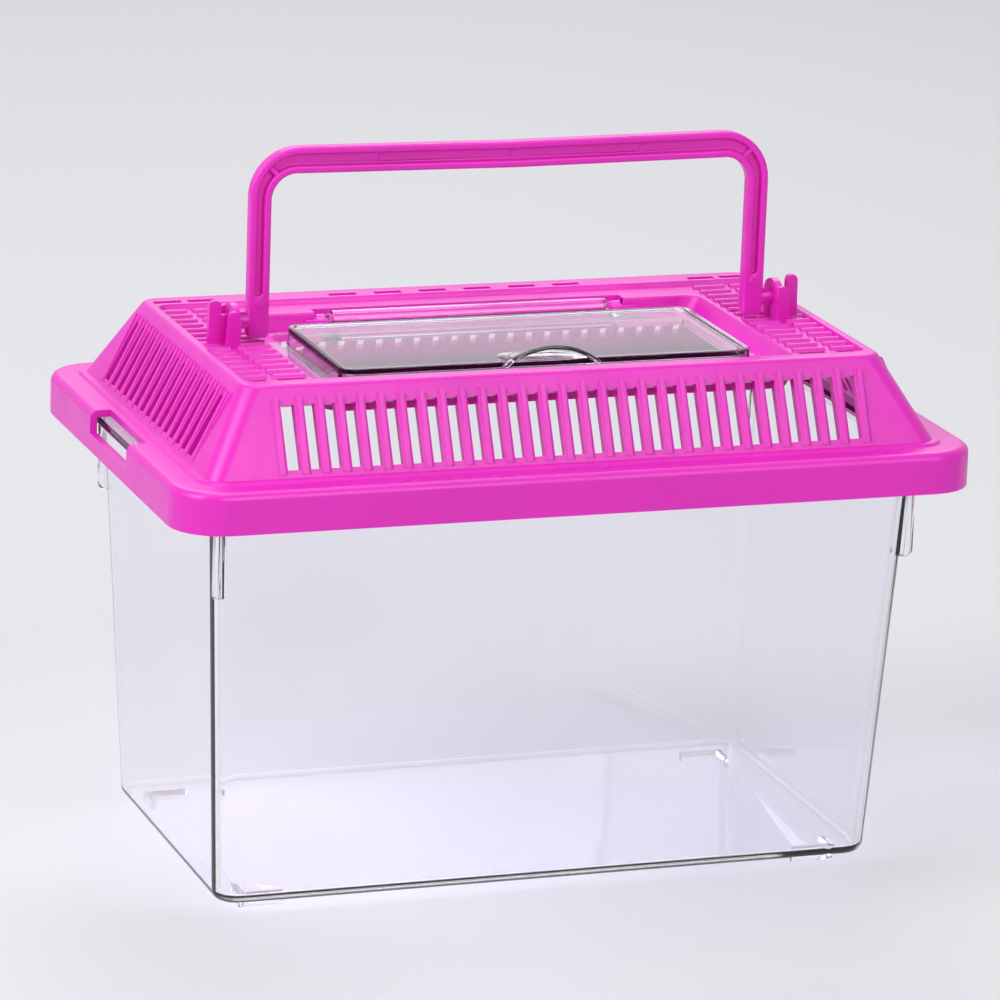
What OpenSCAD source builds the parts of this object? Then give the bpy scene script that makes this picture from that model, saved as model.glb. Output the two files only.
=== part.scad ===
// Pet keeper: a clear tapered tank, a vented lid with a sloped roof, a clear
// feeding door hinged in the roof and a carrying handle hinged on two ears.
// Millimetres. X runs along the long side, the front faces -Y and Z is up.
// The feet stand on Z = 0, and the part is centred on X = 0 and Y = 0.

/* [Tank] */
// Length of the floor, outside
floor_length = 150.4; // [130:0.1:160]
// Width of the floor, outside
floor_width = 81.8; // [70:0.1:92]
// Length of the tank just under its rim, outside
mouth_length = 159; // [145:0.1:166]
// Width of the tank just under its rim, outside
mouth_width = 93.3; // [82:0.1:100]
// Height of the rim's upper face above the table
rim_top = 96.7; // [80:0.1:120]
// Thickness of the tank's walls
tank_wall = 1.8; // [1.2:0.1:2.5]
// Thickness of the tank's floor
floor_thickness = 2; // [1.2:0.1:3]
// Radius of the tank's upright corners
tank_corner = 5.5; // [4:0.1:8]
// Bevel where the walls meet the floor
floor_bevel = 1.5; // [0.5:0.1:2.5]
// Thickness of the flange round the rim
rim_thickness = 1.6; // [1:0.1:2.5]
// Gap between the flange and the inside of the lid's skirt
rim_gap = 0.6; // [0.3:0.1:1]

/* [Tank fins and feet] */
// Height of a corner fin below the skirt
fin_drop = 17.4; // [8:0.1:20]
// How far a corner fin stands out of the corner
fin_reach = 3.3; // [2:0.1:6]
// Thickness of a corner fin
fin_thickness = 1.8; // [1:0.1:2.4]
// Height of the feet
foot_height = 2.5; // [1.5:0.1:4]
// Distance of a foot's corner from the middle, along X
foot_x = 69; // [50:0.1:70]
// Distance of a foot's corner from the middle, along Y
foot_y = 35.3; // [28:0.1:36]
// Length of a foot's long leg
foot_long = 10; // [6:0.5:16]
// Length of a foot's short leg
foot_short = 7; // [4:0.5:12]
// Thickness of a foot's legs
foot_thickness = 1.2; // [0.8:0.1:2]

/* [Lid skirt] */
// Length of the skirt, outside
skirt_length = 180; // [174:1:200]
// Width of the skirt, outside
skirt_width = 115; // [110:1:130]
// Height of the skirt
skirt_height = 9; // [7:0.1:14]
// Thickness of the skirt's walls
skirt_wall = 1.8; // [1.4:0.1:2.5]
// Thickness of the ledge between the skirt and the roof
ledge_thickness = 2; // [1.5:0.1:3]
// Radius of the skirt's upright corners
skirt_corner = 11; // [6:0.5:15]
// Rounding of the skirt's upper edge
skirt_round = 1.5; // [0.5:0.1:1.8]
// Length of the finger notch in each end of the skirt
notch_length = 29; // [20:1:40]
// Depth of the finger notch, from the top of the skirt
notch_depth = 5.1; // [3:0.1:6]
// How far the finger notch goes in from the end of the skirt
notch_reach = 4.6; // [3:0.1:6]

/* [Lid roof] */
// Length of the roof at its foot
roof_foot_length = 165; // [160:0.5:168]
// Width of the roof at its foot
roof_foot_width = 100; // [96:0.5:104]
// Length of the roof at its crest
roof_top_length = 144.2; // [140:0.1:150]
// Width of the roof at its crest
roof_top_width = 80.6; // [78:0.1:88]
// Height of the roof above the ledge
roof_height = 18.2; // [15:0.1:26]
// Radius of the roof's corner edges
roof_corner = 4; // [2:0.1:8]
// Thickness of the roof's walls and top
roof_wall = 1.6; // [1.2:0.1:2.5]
// Depth of the sunken panel inside the crest
panel_depth = 1.1; // [0.5:0.1:1.5]
// Width of the crest at each end
crest_end = 2; // [1:0.1:3]
// Width of the crest at the front
crest_front = 4; // [2:0.1:5]
// Width of the crest at the back
crest_back = 6.9; // [5:0.1:8]

/* [Lid grilles] */
// Ribs in the front grille and in the back grille
long_ribs = 30; // [10:1:30]
// Distance between the ribs in the front and back grilles
long_pitch = 4.5; // [4:0.1:4.6]
// Ribs in each end grille
end_ribs = 16; // [8:1:16]
// Distance between the ribs in the end grilles
end_pitch = 4.6; // [4:0.1:5]
// Width of a rib
rib_width = 2.1; // [1.6:0.1:3]
// Width of the nose along the middle of a rib
rib_nose = 1.2; // [0.8:0.1:1.6]
// How far a rib's flanks beside its nose stand out of the roof's outer face
flank_proud = 0.15; // [0.1:0.05:0.3]
// Depth of a rib through the wall
rib_depth = 3; // [2.4:0.1:4]
// How far a rib stands out of the roof's outer face
rib_proud = 0.9; // [0.4:0.1:1.5]
// How far a rib runs on past its slot before it fades
rib_run_out = 1; // [0.5:0.1:1.5]
// Height of the slots' lower ends above the ledge
slot_foot = 2; // [1:0.1:5]
// Height of the slots' upper ends above the ledge
slot_head = 14.3; // [10:0.1:15]

/* [Lid louvres] */
// Bars in each louvre beside the door
louvre_bars = 15; // [5:2:15]
// Distance between the louvre bars
louvre_pitch = 4.27; // [3.8:0.01:4.4]
// Diameter of a louvre bar
louvre_bar = 2; // [1.4:0.1:2.6]
// How far a louvre bar stands above the panel
louvre_proud = 0.7; // [0.2:0.1:0.8]
// Inner edge of the inner column of louvres
louvre_a = 56; // [55.9:0.1:58]
// Outer edge of the inner column of louvres
louvre_b = 62.3; // [60:0.1:63]
// Inner edge of the outer column of louvres
louvre_c = 64.8; // [64:0.1:66]
// Outer edge of the outer column of louvres
louvre_d = 69.8; // [67:0.1:70]
// Slits in the back crest, between the louvres
crest_slits = 6; // [2:2:8]
// Distance between the slits in the back crest
slit_pitch = 10.6; // [9:0.1:12]
// Length of a slit
slit_length = 6.4; // [4:0.1:8]
// Width of a slit
slit_width = 2; // [1:0.1:2.4]

/* [Door well] */
// Length of the well at the panel
well_length = 109; // [105:0.5:109]
// Length of the well at the door's flange
well_floor_length = 104.4; // [100:0.1:106]
// Position of the well's front wall along Y
well_front = -35.2; // [-36:0.1:-34]
// Position of the well's back wall along Y
well_back = 24.4; // [22:0.1:26]
// Depth from the panel to the ledge that holds the door
well_depth = 4.7; // [4:0.1:6]
// Radius of the well's corners
well_corner = 4; // [2:0.5:6]
// Width of the ledge that holds the door
well_ledge = 3.8; // [2:0.1:6]

/* [Door] */
// Gap between the door and the well
door_gap = 0.7; // [0.4:0.1:1]
// Position of the door's back edge along Y
door_back = 21; // [18:0.1:23]
// Thickness of the door's sheet
door_sheet = 1.4; // [1:0.1:2]
// Length of the door's raised panel
raised_length = 93.6; // [80:0.1:96]
// Position of the raised panel's front edge along Y
raised_front = -28.5; // [-31:0.1:-26]
// Position of the raised panel's back edge along Y
raised_back = 12.7; // [8:0.1:15]
// Height of the raised panel above the door's flange
raised_height = 3.4; // [2:0.1:4]
// Radius of the door's corners
door_corner = 3; // [1:0.5:5]
// Width of the bead round the raised panel
bead_width = 1.2; // [0.8:0.1:2]
// Height of the bead round the raised panel
bead_height = 0.4; // [0.2:0.1:0.8]
// Length of the catch at the door's front edge
catch_length = 34; // [20:1:40]
// How far the catch reaches below the door's flange
catch_drop = 1.2; // [0.8:0.1:2]
// Width of the finger grip on the door
grip_width = 21.8; // [16:0.1:26]
// Height of the finger grip above the raised panel
grip_height = 4; // [2.5:0.1:4.5]
// Depth of the finger grip from its mouth to its back edge
grip_depth = 12.2; // [8:0.1:16]
// How far the grip's mouth stands in front of the raised panel
grip_overhang = 1.7; // [0:0.1:2]
// Thickness of the grip
grip_sheet = 0.9; // [0.7:0.1:1.4]

/* [Door hinge] */
// Length of the door's hinge barrel
barrel_length = 64.6; // [40:0.1:70]
// Radius of the door's hinge barrel
barrel_radius = 1.8; // [1.6:0.05:2]
// Position of the hinge's axis along Y
hinge_y = 25.3; // [25:0.1:26]
// Depth of the hinge's axis below the panel
hinge_drop = 1.8; // [1.7:0.1:2]
// Radius of the door's hinge pins
door_pin_radius = 1.1; // [0.9:0.05:1.2]
// Length of the door's hinge pins
door_pin_length = 3.6; // [2:0.1:4]
// Side gap between the barrel and its notch
barrel_gap = 1.6; // [1:0.1:2.5]
// How far the barrel's arm reaches onto the door's flange
arm_lap = 1.5; // [1:0.1:3]
// Gap behind the barrel
barrel_back_gap = 1.5; // [1:0.1:3]

/* [Handle] */
// Length of the handle, over both legs
handle_length = 119.2; // [116:0.1:121]
// Height of the handle's outer edge above the pivot
handle_rise = 37.8; // [34:0.1:48]
// Width of the handle's legs
leg_width = 4.7; // [4.3:0.1:5.6]
// Height of the handle's bar
bar_height = 5.8; // [4.5:0.1:6]
// Thickness of the handle
handle_thickness = 3; // [2.4:0.1:3.2]
// Outer radius of the handle's corners
handle_corner = 11; // [8:0.5:15]
// Depth of the groove in the handle's front face
groove_depth = 1.4; // [0.8:0.1:1.6]
// Width of the borders beside the groove
groove_border = 1.6; // [1.2:0.1:1.9]
// Height of the groove's lower ends above the pivot
groove_foot = 5.5; // [5:0.1:10]
// How far the legs reach below the pivot
leg_reach = 3.9; // [3:0.1:4]
// Radius of the legs' lower corners
leg_end_round = 1; // [0.5:0.1:2]
// Radius of the small boss on each leg
boss_radius = 1; // [0.6:0.1:1.4]
// Distance of the boss below the groove
boss_drop = 1.4; // [1:0.1:2]
// Thickness of the webs across the groove's corners
web_thickness = 1; // [0.6:0.1:1.6]
// Radius of the handle's pivot pins
pin_radius = 1.75; // [1.4:0.05:2]

/* [Ears] */
// Rounding of an ear's blades, as a share of their reach
blade_round = 0.4; // [0.2:0.05:0.5]
// Height of the handle's pivot above the crest
pivot_rise = 4.1; // [4.1:0.1:8]
// Distance from the middle to each ear's inner face
ear_x = 62; // [61.4:0.1:62.2]
// Thickness of an ear's web
ear_web = 1.5; // [1.2:0.1:2]
// Width of an ear along Y
ear_width = 8.6; // [8.2:0.1:10]
// Distance of the middle of an ear's round top below the pivot
ear_drop = 0.4; // [0:0.1:0.6]
// Thickness of an ear's flanges
ear_flange = 1.4; // [1:0.1:2]
// How far the flanges reach from the ear's inner face
ear_flange_reach = 3.2; // [2.4:0.1:3.4]
// Height of the flanges' tops above the pivot
flange_rise = 2.8; // [2.2:0.1:3.6]
// How far the middle rib reaches from the ear's inner face
ear_rib_reach = 6.3; // [5.8:0.1:7]
// Height of the middle rib above the pivot
rib_rise = 1.5; // [1:0.1:2]
// Width of the finger at the outer end of the middle rib
finger_width = 2.8; // [2:0.1:3]
// Height of the finger's round top above the pivot
finger_rise = 4.65; // [4:0.05:5]
// Radial gap between a pin and its bore
pin_gap = 0.06; // [0.03:0.01:0.1]

/* [Hidden] */
$fn = 48;
slab = 0.01;
overlap = 0.3;

skirt_bottom = rim_top - skirt_height + ledge_thickness;
skirt_top = rim_top + ledge_thickness;
crest_z = skirt_top + roof_height;
panel_z = crest_z - panel_depth;
ceiling_z = panel_z - roof_wall;
well_floor_z = panel_z - well_depth;
flange_top_z = well_floor_z + door_sheet;
raised_z = flange_top_z + raised_height;
hinge_z = panel_z - hinge_drop;
pivot_z = crest_z + pivot_rise;

skirt_inner_length = skirt_length - 2 * skirt_wall;
skirt_inner_width = skirt_width - 2 * skirt_wall;
skirt_inner_corner = skirt_corner - skirt_wall;
rim_length = skirt_inner_length - 2 * rim_gap;
rim_width = skirt_inner_width - 2 * rim_gap;
door_length = well_floor_length - 2 * door_gap;
door_front = well_front + door_gap;
door_axis_x = barrel_length / 2;
notch_half = door_axis_x + barrel_gap;
notch_back = hinge_y + barrel_radius + barrel_back_gap;
handle_edge = handle_length / 2;
pin_colour = [0.84, 0.16, 0.70];
clear_colour = [0.80, 0.84, 0.92, 0.35];

// ---- shared shapes ----

// A rectangle with rounded corners, centred
module rounded_rect(l, w, r) {
  square([l, w - 2 * r], center = true);
  square([l - 2 * r, w], center = true);
  for (x = [-1, 1], y = [-1, 1])
    translate([x * (l / 2 - r), y * (w / 2 - r)]) circle(r);
}

// A block through level outlines given as [length, width, corner, height]
module tapered_block(levels) {
  hull()
    for (v = levels)
      translate([0, 0, v[3]]) linear_extrude(slab) rounded_rect(v[0], v[1], v[2]);
}

// Repeats its children in all four corners
module four_corners() {
  for (a = [0, 1], b = [0, 1])
    mirror([a, 0, 0]) mirror([0, b, 0]) children();
}

// Repeats its children at both ends
module both_ends() {
  for (a = [0, 1]) mirror([a, 0, 0]) children();
}

// Extrudes a drawing of Y and Z along X, centred
module along_x(length) {
  rotate([90, 0, 90]) linear_extrude(length, center = true) children();
}

// Extrudes a drawing of X and Z along Y, centred
module along_y(length) {
  rotate([90, 0, 0]) linear_extrude(length, center = true) children();
}

// ---- tank ----

module tank_inside() {
  slope_l = (mouth_length - floor_length) / (rim_top - foot_height);
  slope_w = (mouth_width - floor_width) / (rim_top - foot_height);
  inner_corner = tank_corner - tank_wall;
  tapered_block([
    [floor_length + slope_l * floor_thickness - 2 * tank_wall - floor_bevel,
     floor_width + slope_w * floor_thickness - 2 * tank_wall - floor_bevel,
     inner_corner, foot_height + floor_thickness],
    [floor_length - 2 * tank_wall, floor_width - 2 * tank_wall,
     inner_corner, foot_height + floor_thickness + floor_bevel],
    [mouth_length - 2 * tank_wall, mouth_width - 2 * tank_wall,
     inner_corner, rim_top + overlap]]);
}

// An upright fin that braces the flange against a corner of the tank
module corner_fin() {
  top = rim_top - rim_thickness / 2;
  low = skirt_bottom - fin_drop;
  from_floor = (low - foot_height) / (rim_top - foot_height);
  corner_x = (floor_length + from_floor * (mouth_length - floor_length)) / 2 - tank_corner;
  corner_y = (floor_width + from_floor * (mouth_width - floor_width)) / 2 - tank_corner;
  reach = tank_corner + fin_reach;
  round = fin_reach / 2;
  translate([corner_x, corner_y, 0]) rotate([0, 0, 45]) rotate([90, 0, 0])
    linear_extrude(fin_thickness, center = true) {
      translate([tank_corner - tank_wall / 2, low + round])
        square([reach - tank_corner + tank_wall / 2, top - low - round]);
      translate([tank_corner - tank_wall / 2, low])
        square([reach - tank_corner + tank_wall / 2 - round, round + overlap]);
      translate([reach - round, low + round]) circle(round);
    }
}

module corner_foot() {
  linear_extrude(foot_height + overlap) {
    translate([foot_x - foot_long, foot_y - foot_thickness]) square([foot_long, foot_thickness]);
    translate([foot_x - foot_thickness, foot_y - foot_short]) square([foot_thickness, foot_short]);
  }
}

module tank() color(clear_colour) {
  difference() {
    union() {
      tapered_block([
        [floor_length - 2 * floor_bevel, floor_width - 2 * floor_bevel,
         tank_corner - floor_bevel, foot_height],
        [floor_length, floor_width, tank_corner, foot_height + floor_bevel],
        [mouth_length, mouth_width, tank_corner, rim_top - slab]]);
      translate([0, 0, rim_top - rim_thickness])
        linear_extrude(rim_thickness)
          rounded_rect(rim_length, rim_width, skirt_inner_corner - rim_gap);
      four_corners() corner_fin();
    }
    tank_inside();
  }
  four_corners() corner_foot();
}

// ---- lid ----

module skirt() {
  difference() {
    translate([0, 0, skirt_bottom]) {
      linear_extrude(skirt_height - skirt_round)
        rounded_rect(skirt_length, skirt_width, skirt_corner);
      translate([0, 0, skirt_height - skirt_round]) skirt_edge();
    }
    translate([0, 0, skirt_bottom - overlap])
      linear_extrude(skirt_height - ledge_thickness + overlap)
        rounded_rect(skirt_inner_length, skirt_inner_width, skirt_inner_corner);
  }
}

// The rounded upper edge of the skirt
module skirt_edge() {
  run_x = skirt_length / 2 - skirt_corner;
  run_y = skirt_width / 2 - skirt_corner;
  linear_extrude(skirt_round)
    rounded_rect(skirt_length - 2 * skirt_round, skirt_width - 2 * skirt_round,
                 skirt_corner - skirt_round);
  for (y = [-1, 1])
    translate([0, y * (skirt_width / 2 - skirt_round), 0])
      rotate([0, 90, 0]) cylinder(r = skirt_round, h = 2 * run_x, center = true);
  for (x = [-1, 1])
    translate([x * (skirt_length / 2 - skirt_round), 0, 0])
      rotate([90, 0, 0]) cylinder(r = skirt_round, h = 2 * run_y, center = true);
  for (x = [-1, 1], y = [-1, 1])
    translate([x * run_x, y * run_y, 0])
      rotate_extrude() translate([skirt_corner - skirt_round, 0]) circle(skirt_round);
}

// The notch for a fingertip in the end of the skirt
module finger_notch() {
  translate([skirt_length / 2 - notch_reach, -notch_length / 2, skirt_top - notch_depth])
    cube([notch_reach + overlap, notch_length, notch_depth + overlap]);
}

module roof_outside() {
  tapered_block([
    [roof_foot_length, roof_foot_width, roof_corner, skirt_top - slab],
    [roof_top_length, roof_top_width, roof_corner, crest_z - slab]]);
}

module roof_inside() {
  drop = ledge_thickness + overlap;
  rise = ceiling_z - skirt_top;
  shrink_l = (roof_foot_length - roof_top_length) / roof_height;
  shrink_w = (roof_foot_width - roof_top_width) / roof_height;
  side = 2 * roof_wall / cos(atan(shrink_l / 2));
  inner_corner = roof_corner - roof_wall;
  tapered_block([
    [roof_foot_length - side + shrink_l * drop, roof_foot_width - side + shrink_w * drop,
     inner_corner, skirt_top - drop],
    [roof_foot_length - side - shrink_l * rise, roof_foot_width - side - shrink_w * rise,
     inner_corner, ceiling_z - slab]]);
}

// The sunken panel inside the crest
module panel_recess() {
  front = -roof_top_width / 2 + crest_front;
  back = roof_top_width / 2 - crest_back;
  translate([0, (front + back) / 2, panel_z])
    linear_extrude(panel_depth + overlap)
      rounded_rect(roof_top_length - 2 * crest_end, back - front, roof_corner - crest_end);
}

// The outline of one rib, cut across its length
module rib_section() {
  radius = rib_width / 2;
  middle = rib_depth - rib_proud - radius;
  translate([0, rib_nose / 2 - rib_proud]) circle(rib_nose / 2);
  translate([-rib_nose / 2, rib_nose / 2 - rib_proud]) square([rib_nose, middle + rib_proud]);
  translate([-radius, -flank_proud]) square([rib_width, middle + flank_proud]);
  translate([0, middle]) circle(radius);
}

// The side view of a grille's ribs, which fade out at both ends
module rib_profile(low, high) {
  back = rib_depth - rib_proud;
  fade = rib_run_out + rib_proud;
  polygon([[back, low - rib_run_out], [back, high + rib_run_out], [overlap, high + fade],
           [-rib_proud, high + overlap], [-rib_proud, low - overlap],
           [overlap, low - rib_run_out]]);
}

// Turns the drawing of a sloped wall so that it leans on the roof's front
module on_slope(foot, crest) {
  translate([0, -foot / 2, skirt_top])
    rotate([-atan((foot - crest) / 2 / roof_height), 0, 0]) children();
}

module grille_window(ribs, pitch, foot, crest) {
  stretch = 1 / cos(atan((foot - crest) / 2 / roof_height));
  on_slope(foot, crest)
    translate([-(ribs - 1) * pitch / 2, -rib_depth, slot_foot * stretch])
      cube([(ribs - 1) * pitch, 2 * rib_depth, (slot_head - slot_foot) * stretch]);
}

module grille_ribs(ribs, pitch, foot, crest) {
  stretch = 1 / cos(atan((foot - crest) / 2 / roof_height));
  on_slope(foot, crest)
    intersection() {
      linear_extrude(roof_height * stretch)
        for (i = [0 : ribs - 1])
          translate([(i - (ribs - 1) / 2) * pitch, 0]) rib_section();
      along_x(ribs * pitch) rib_profile(slot_foot * stretch, slot_head * stretch);
    }
}

module louvre_windows() {
  reach = (louvre_bars + 1) * louvre_pitch / 2 - louvre_bar / 2;
  for (column = [[louvre_a, louvre_b], [louvre_c, louvre_d]])
    translate([column[0], -reach, ceiling_z - overlap])
      cube([column[1] - column[0], 2 * reach, roof_wall + 2 * overlap]);
}

module louvres() {
  z = panel_z + louvre_proud - louvre_bar / 2;
  for (i = [0 : louvre_bars - 1])
    translate([louvre_a - overlap, (i - (louvre_bars - 1) / 2) * louvre_pitch, z])
      rotate([0, 90, 0])
        cylinder(d = louvre_bar, h = louvre_d - louvre_a + 2 * overlap);
}

// The row of slits along the back crest
module slits() {
  y = roof_top_width / 2 - crest_back + slit_width;
  middle = [for (i = [0 : crest_slits - 1]) (i - (crest_slits - 1) / 2) * slit_pitch];
  beside = (louvre_c + louvre_d) / 2;
  inner = (louvre_a + louvre_b) / 2;
  for (x = concat(middle, [-beside, -inner, inner, beside]))
    translate([x - slit_length / 2, y - slit_width / 2, ceiling_z - overlap])
      cube([slit_length, slit_width, roof_wall + panel_depth + 2 * overlap]);
}

// The space the door lies in, wider at the panel than at the door's flange
module well_inside() {
  depth = well_back - well_front;
  translate([0, (well_front + well_back) / 2, 0])
    tapered_block([
      [well_floor_length, depth, well_corner, well_floor_z],
      [well_length, depth, well_corner, panel_z + overlap]]);
}

module well_outside() {
  depth = well_back - well_front + 2 * roof_wall;
  translate([0, (well_front + well_back) / 2, 0])
    tapered_block([
      [well_floor_length + 2 * roof_wall, depth, well_corner + roof_wall,
       well_floor_z - roof_wall],
      [well_length + 2 * roof_wall, depth, well_corner + roof_wall, panel_z - overlap]]);
}

// The opening that the door covers
module well_opening() {
  front = well_front + well_ledge;
  back = door_back - well_ledge;
  translate([0, (front + back) / 2, well_floor_z - 2 * roof_wall])
    linear_extrude(4 * roof_wall)
      rounded_rect(well_floor_length - 2 * well_ledge, back - front, well_corner);
}

// The block behind the well that carries the door's hinge
module hinge_block() {
  back = notch_back + roof_wall;
  front = well_back - overlap;
  reach = notch_half + door_pin_length;
  translate([-reach, front, well_floor_z - roof_wall])
    cube([2 * reach, back - front, panel_z - well_floor_z + roof_wall]);
}

module hinge_notch() {
  front = door_back - 1;
  translate([-notch_half, front, well_floor_z])
    cube([2 * notch_half, notch_back - front, well_depth + overlap]);
  translate([0, hinge_y, hinge_z]) rotate([0, 90, 0])
    cylinder(r = door_pin_radius + pin_gap, h = 2 * (door_axis_x + door_pin_length + overlap),
             center = true);
}

// The gap in the ledge that the door's catch reaches through
module catch_gap() {
  width = catch_length + 2 * door_gap;
  translate([-width / 2, well_front, well_floor_z - 2 * roof_wall])
    cube([width, well_ledge + overlap, 4 * roof_wall]);
}

// An ear for the handle, on the right of the lid
module ear() {
  low = panel_z - overlap;
  tall = pivot_z - low;
  translate([ear_x + ear_web / 2, 0, 0]) along_x(ear_web) {
    translate([-ear_width / 2, low]) square([ear_width, tall - ear_drop]);
    translate([0, pivot_z - ear_drop]) circle(ear_width / 2);
  }
  for (y = [-1, 1])
    translate([ear_x, y * (ear_width - ear_flange) / 2, low])
      along_y(ear_flange) ear_blade(ear_flange_reach, tall + flange_rise);
  translate([ear_x + ear_web / 2, 0, low]) along_y(ear_flange) {
    square([ear_rib_reach - ear_web / 2, tall + rib_rise]);
    translate([ear_rib_reach - ear_web / 2 - finger_width, 0]) {
      square([finger_width, tall + finger_rise - finger_width / 2]);
      translate([finger_width / 2, tall + finger_rise - finger_width / 2])
        circle(finger_width / 2);
    }
  }
  translate([louvre_b - overlap, -ear_width / 2, ceiling_z])
    cube([louvre_d - louvre_b + 2 * overlap, ear_width, roof_wall]);
}

// A flat blade with a rounded outer top corner
module ear_blade(reach, tall) {
  round = reach * blade_round;
  square([reach, tall - round]);
  square([reach - round, tall]);
  translate([reach - round, tall - round]) circle(round);
}

module ear_bore() {
  translate([ear_x - overlap, 0, pivot_z]) rotate([0, 90, 0])
    cylinder(r = pin_radius + pin_gap, h = ear_web + 2 * overlap);
}

module lid() color(pin_colour) {
  difference() {
    union() {
      difference() {
        union() {
          skirt();
          roof_outside();
        }
        roof_inside();
        panel_recess();
        for (turn = [0, 180]) rotate([0, 0, turn]) {
          grille_window(long_ribs, long_pitch, roof_foot_width, roof_top_width);
          rotate([0, 0, 90])
            grille_window(end_ribs, end_pitch, roof_foot_length, roof_top_length);
        }
        both_ends() louvre_windows();
        slits();
      }
      well_outside();
      hinge_block();
      for (turn = [0, 180]) rotate([0, 0, turn]) {
        grille_ribs(long_ribs, long_pitch, roof_foot_width, roof_top_width);
        rotate([0, 0, 90])
          grille_ribs(end_ribs, end_pitch, roof_foot_length, roof_top_length);
      }
      both_ends() louvres();
      both_ends() ear();
    }
    well_inside();
    well_opening();
    hinge_notch();
    catch_gap();
    both_ends() ear_bore();
    both_ends() finger_notch();
  }
}

// ---- feeding door ----

// A rectangle with rounded corners between two positions along Y
module door_rect(length, front, back, corner) {
  translate([0, (front + back) / 2]) rounded_rect(length, back - front, corner);
}

// The arched outline of the finger grip, drawn from the raised panel up
module arch(width, height) {
  radius = (pow(width / 2, 2) + pow(height, 2)) / (2 * height);
  intersection() {
    translate([0, height - radius]) circle(radius, $fn = 96);
    translate([-width / 2, 0]) square([width, height]);
  }
}

// The finger grip: an arch in front that runs down to a straight back edge
module grip_shape(width, height, front, back) {
  hull() {
    translate([0, front, raised_z]) rotate([90, 0, 0]) linear_extrude(slab) arch(width, height);
    translate([-width / 2, back, raised_z]) cube([width, slab, slab]);
  }
}

module grip() {
  front = raised_front - grip_overhang;
  back = front + grip_depth;
  difference() {
    union() {
      grip_shape(grip_width, grip_height, front, back);
      translate([-grip_width / 2, front, raised_z - grip_sheet])
        cube([grip_width, grip_depth, grip_sheet]);
    }
    grip_shape(grip_width - 2 * grip_sheet, grip_height - grip_sheet, front - slab,
               back - 2 * grip_sheet);
  }
}

module feeding_door() color(clear_colour) {
  difference() {
    union() {
      translate([0, 0, well_floor_z])
        linear_extrude(door_sheet) door_rect(door_length, door_front, door_back, door_corner);
      translate([0, 0, well_floor_z])
        linear_extrude(raised_z - well_floor_z)
          door_rect(raised_length, raised_front, raised_back, door_corner);
    }
    translate([0, 0, well_floor_z - overlap])
      linear_extrude(raised_z - well_floor_z - door_sheet + overlap)
        door_rect(raised_length - 2 * door_sheet, raised_front + door_sheet,
                  raised_back - door_sheet, door_corner / 2);
  }
  translate([0, 0, raised_z - bead_height]) linear_extrude(2 * bead_height)
    difference() {
      door_rect(raised_length, raised_front, raised_back, door_corner);
      door_rect(raised_length - 2 * bead_width, raised_front + bead_width,
                raised_back - bead_width, door_corner / 2);
    }
  grip();
  translate([-catch_length / 2, door_front + overlap, well_floor_z - catch_drop])
    cube([catch_length, door_sheet, catch_drop + overlap]);
  translate([-door_axis_x, door_back - arm_lap, well_floor_z])
    cube([barrel_length, hinge_y - door_back + arm_lap, hinge_z - well_floor_z]);
  translate([0, hinge_y, hinge_z]) rotate([0, 90, 0]) {
    cylinder(r = barrel_radius, h = barrel_length, center = true);
    cylinder(r = door_pin_radius, h = barrel_length + 2 * door_pin_length, center = true);
  }
}

// ---- handle ----

// A doorway outline: two upright sides and a top with rounded corners
module doorway(half, top, corner, foot) {
  translate([-half, foot]) square([2 * half, top - corner - foot]);
  translate([corner - half, foot]) square([2 * (half - corner), top - foot]);
  for (x = [-1, 1]) translate([x * (half - corner), top - corner]) circle(corner);
}

module handle_outline() {
  half = handle_edge;
  top = pivot_z + handle_rise;
  low = pivot_z - leg_reach + leg_end_round;
  difference() {
    doorway(half, top, handle_corner, low);
    doorway(half - leg_width, top - bar_height, handle_corner - leg_width, low - 1);
  }
  both_ends() translate([half - leg_width, low]) leg_end();
}

// The rounded lower end of a leg
module leg_end() {
  translate([leg_end_round, -leg_end_round])
    square([leg_width - 2 * leg_end_round, leg_end_round + overlap]);
  for (x = [leg_end_round, leg_width - leg_end_round]) translate([x, 0]) circle(leg_end_round);
}

module groove_outline() {
  half = handle_edge;
  top = pivot_z + handle_rise;
  foot = pivot_z + groove_foot;
  difference() {
    doorway(half - groove_border, top - groove_border, handle_corner - groove_border, foot);
    doorway(half - leg_width + groove_border, top - bar_height + groove_border,
            handle_corner - leg_width + groove_border, foot - 1);
    both_ends() translate([half - handle_corner / 2, top - handle_corner / 2])
      rotate([0, 0, 45]) square([2 * handle_corner, web_thickness], center = true);
  }
}

module pivot_pin() {
  translate([handle_edge - overlap, 0, pivot_z]) rotate([0, 90, 0])
    cylinder(r = pin_radius, h = ear_x + ear_web - handle_edge + overlap);
}

module handle() color(pin_colour) {
  front = -handle_thickness / 2;
  difference() {
    along_y(handle_thickness) handle_outline();
    translate([0, front, 0]) along_y(2 * groove_depth) groove_outline();
  }
  both_ends() pivot_pin();
  both_ends() translate([handle_edge - leg_width / 2, front, pivot_z + groove_foot - boss_drop])
    rotate([90, 0, 0]) cylinder(r = boss_radius, h = 2 * overlap, center = true);
}

tank();
lid();
feeding_door();
handle();
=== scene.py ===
"""The looks of a clear plastic pet keeper with a pink vented lid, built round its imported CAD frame."""

import math

import bmesh
import bpy
from bpy.props import FloatProperty, FloatVectorProperty, IntProperty, PointerProperty
from mathutils import Matrix, Vector


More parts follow.
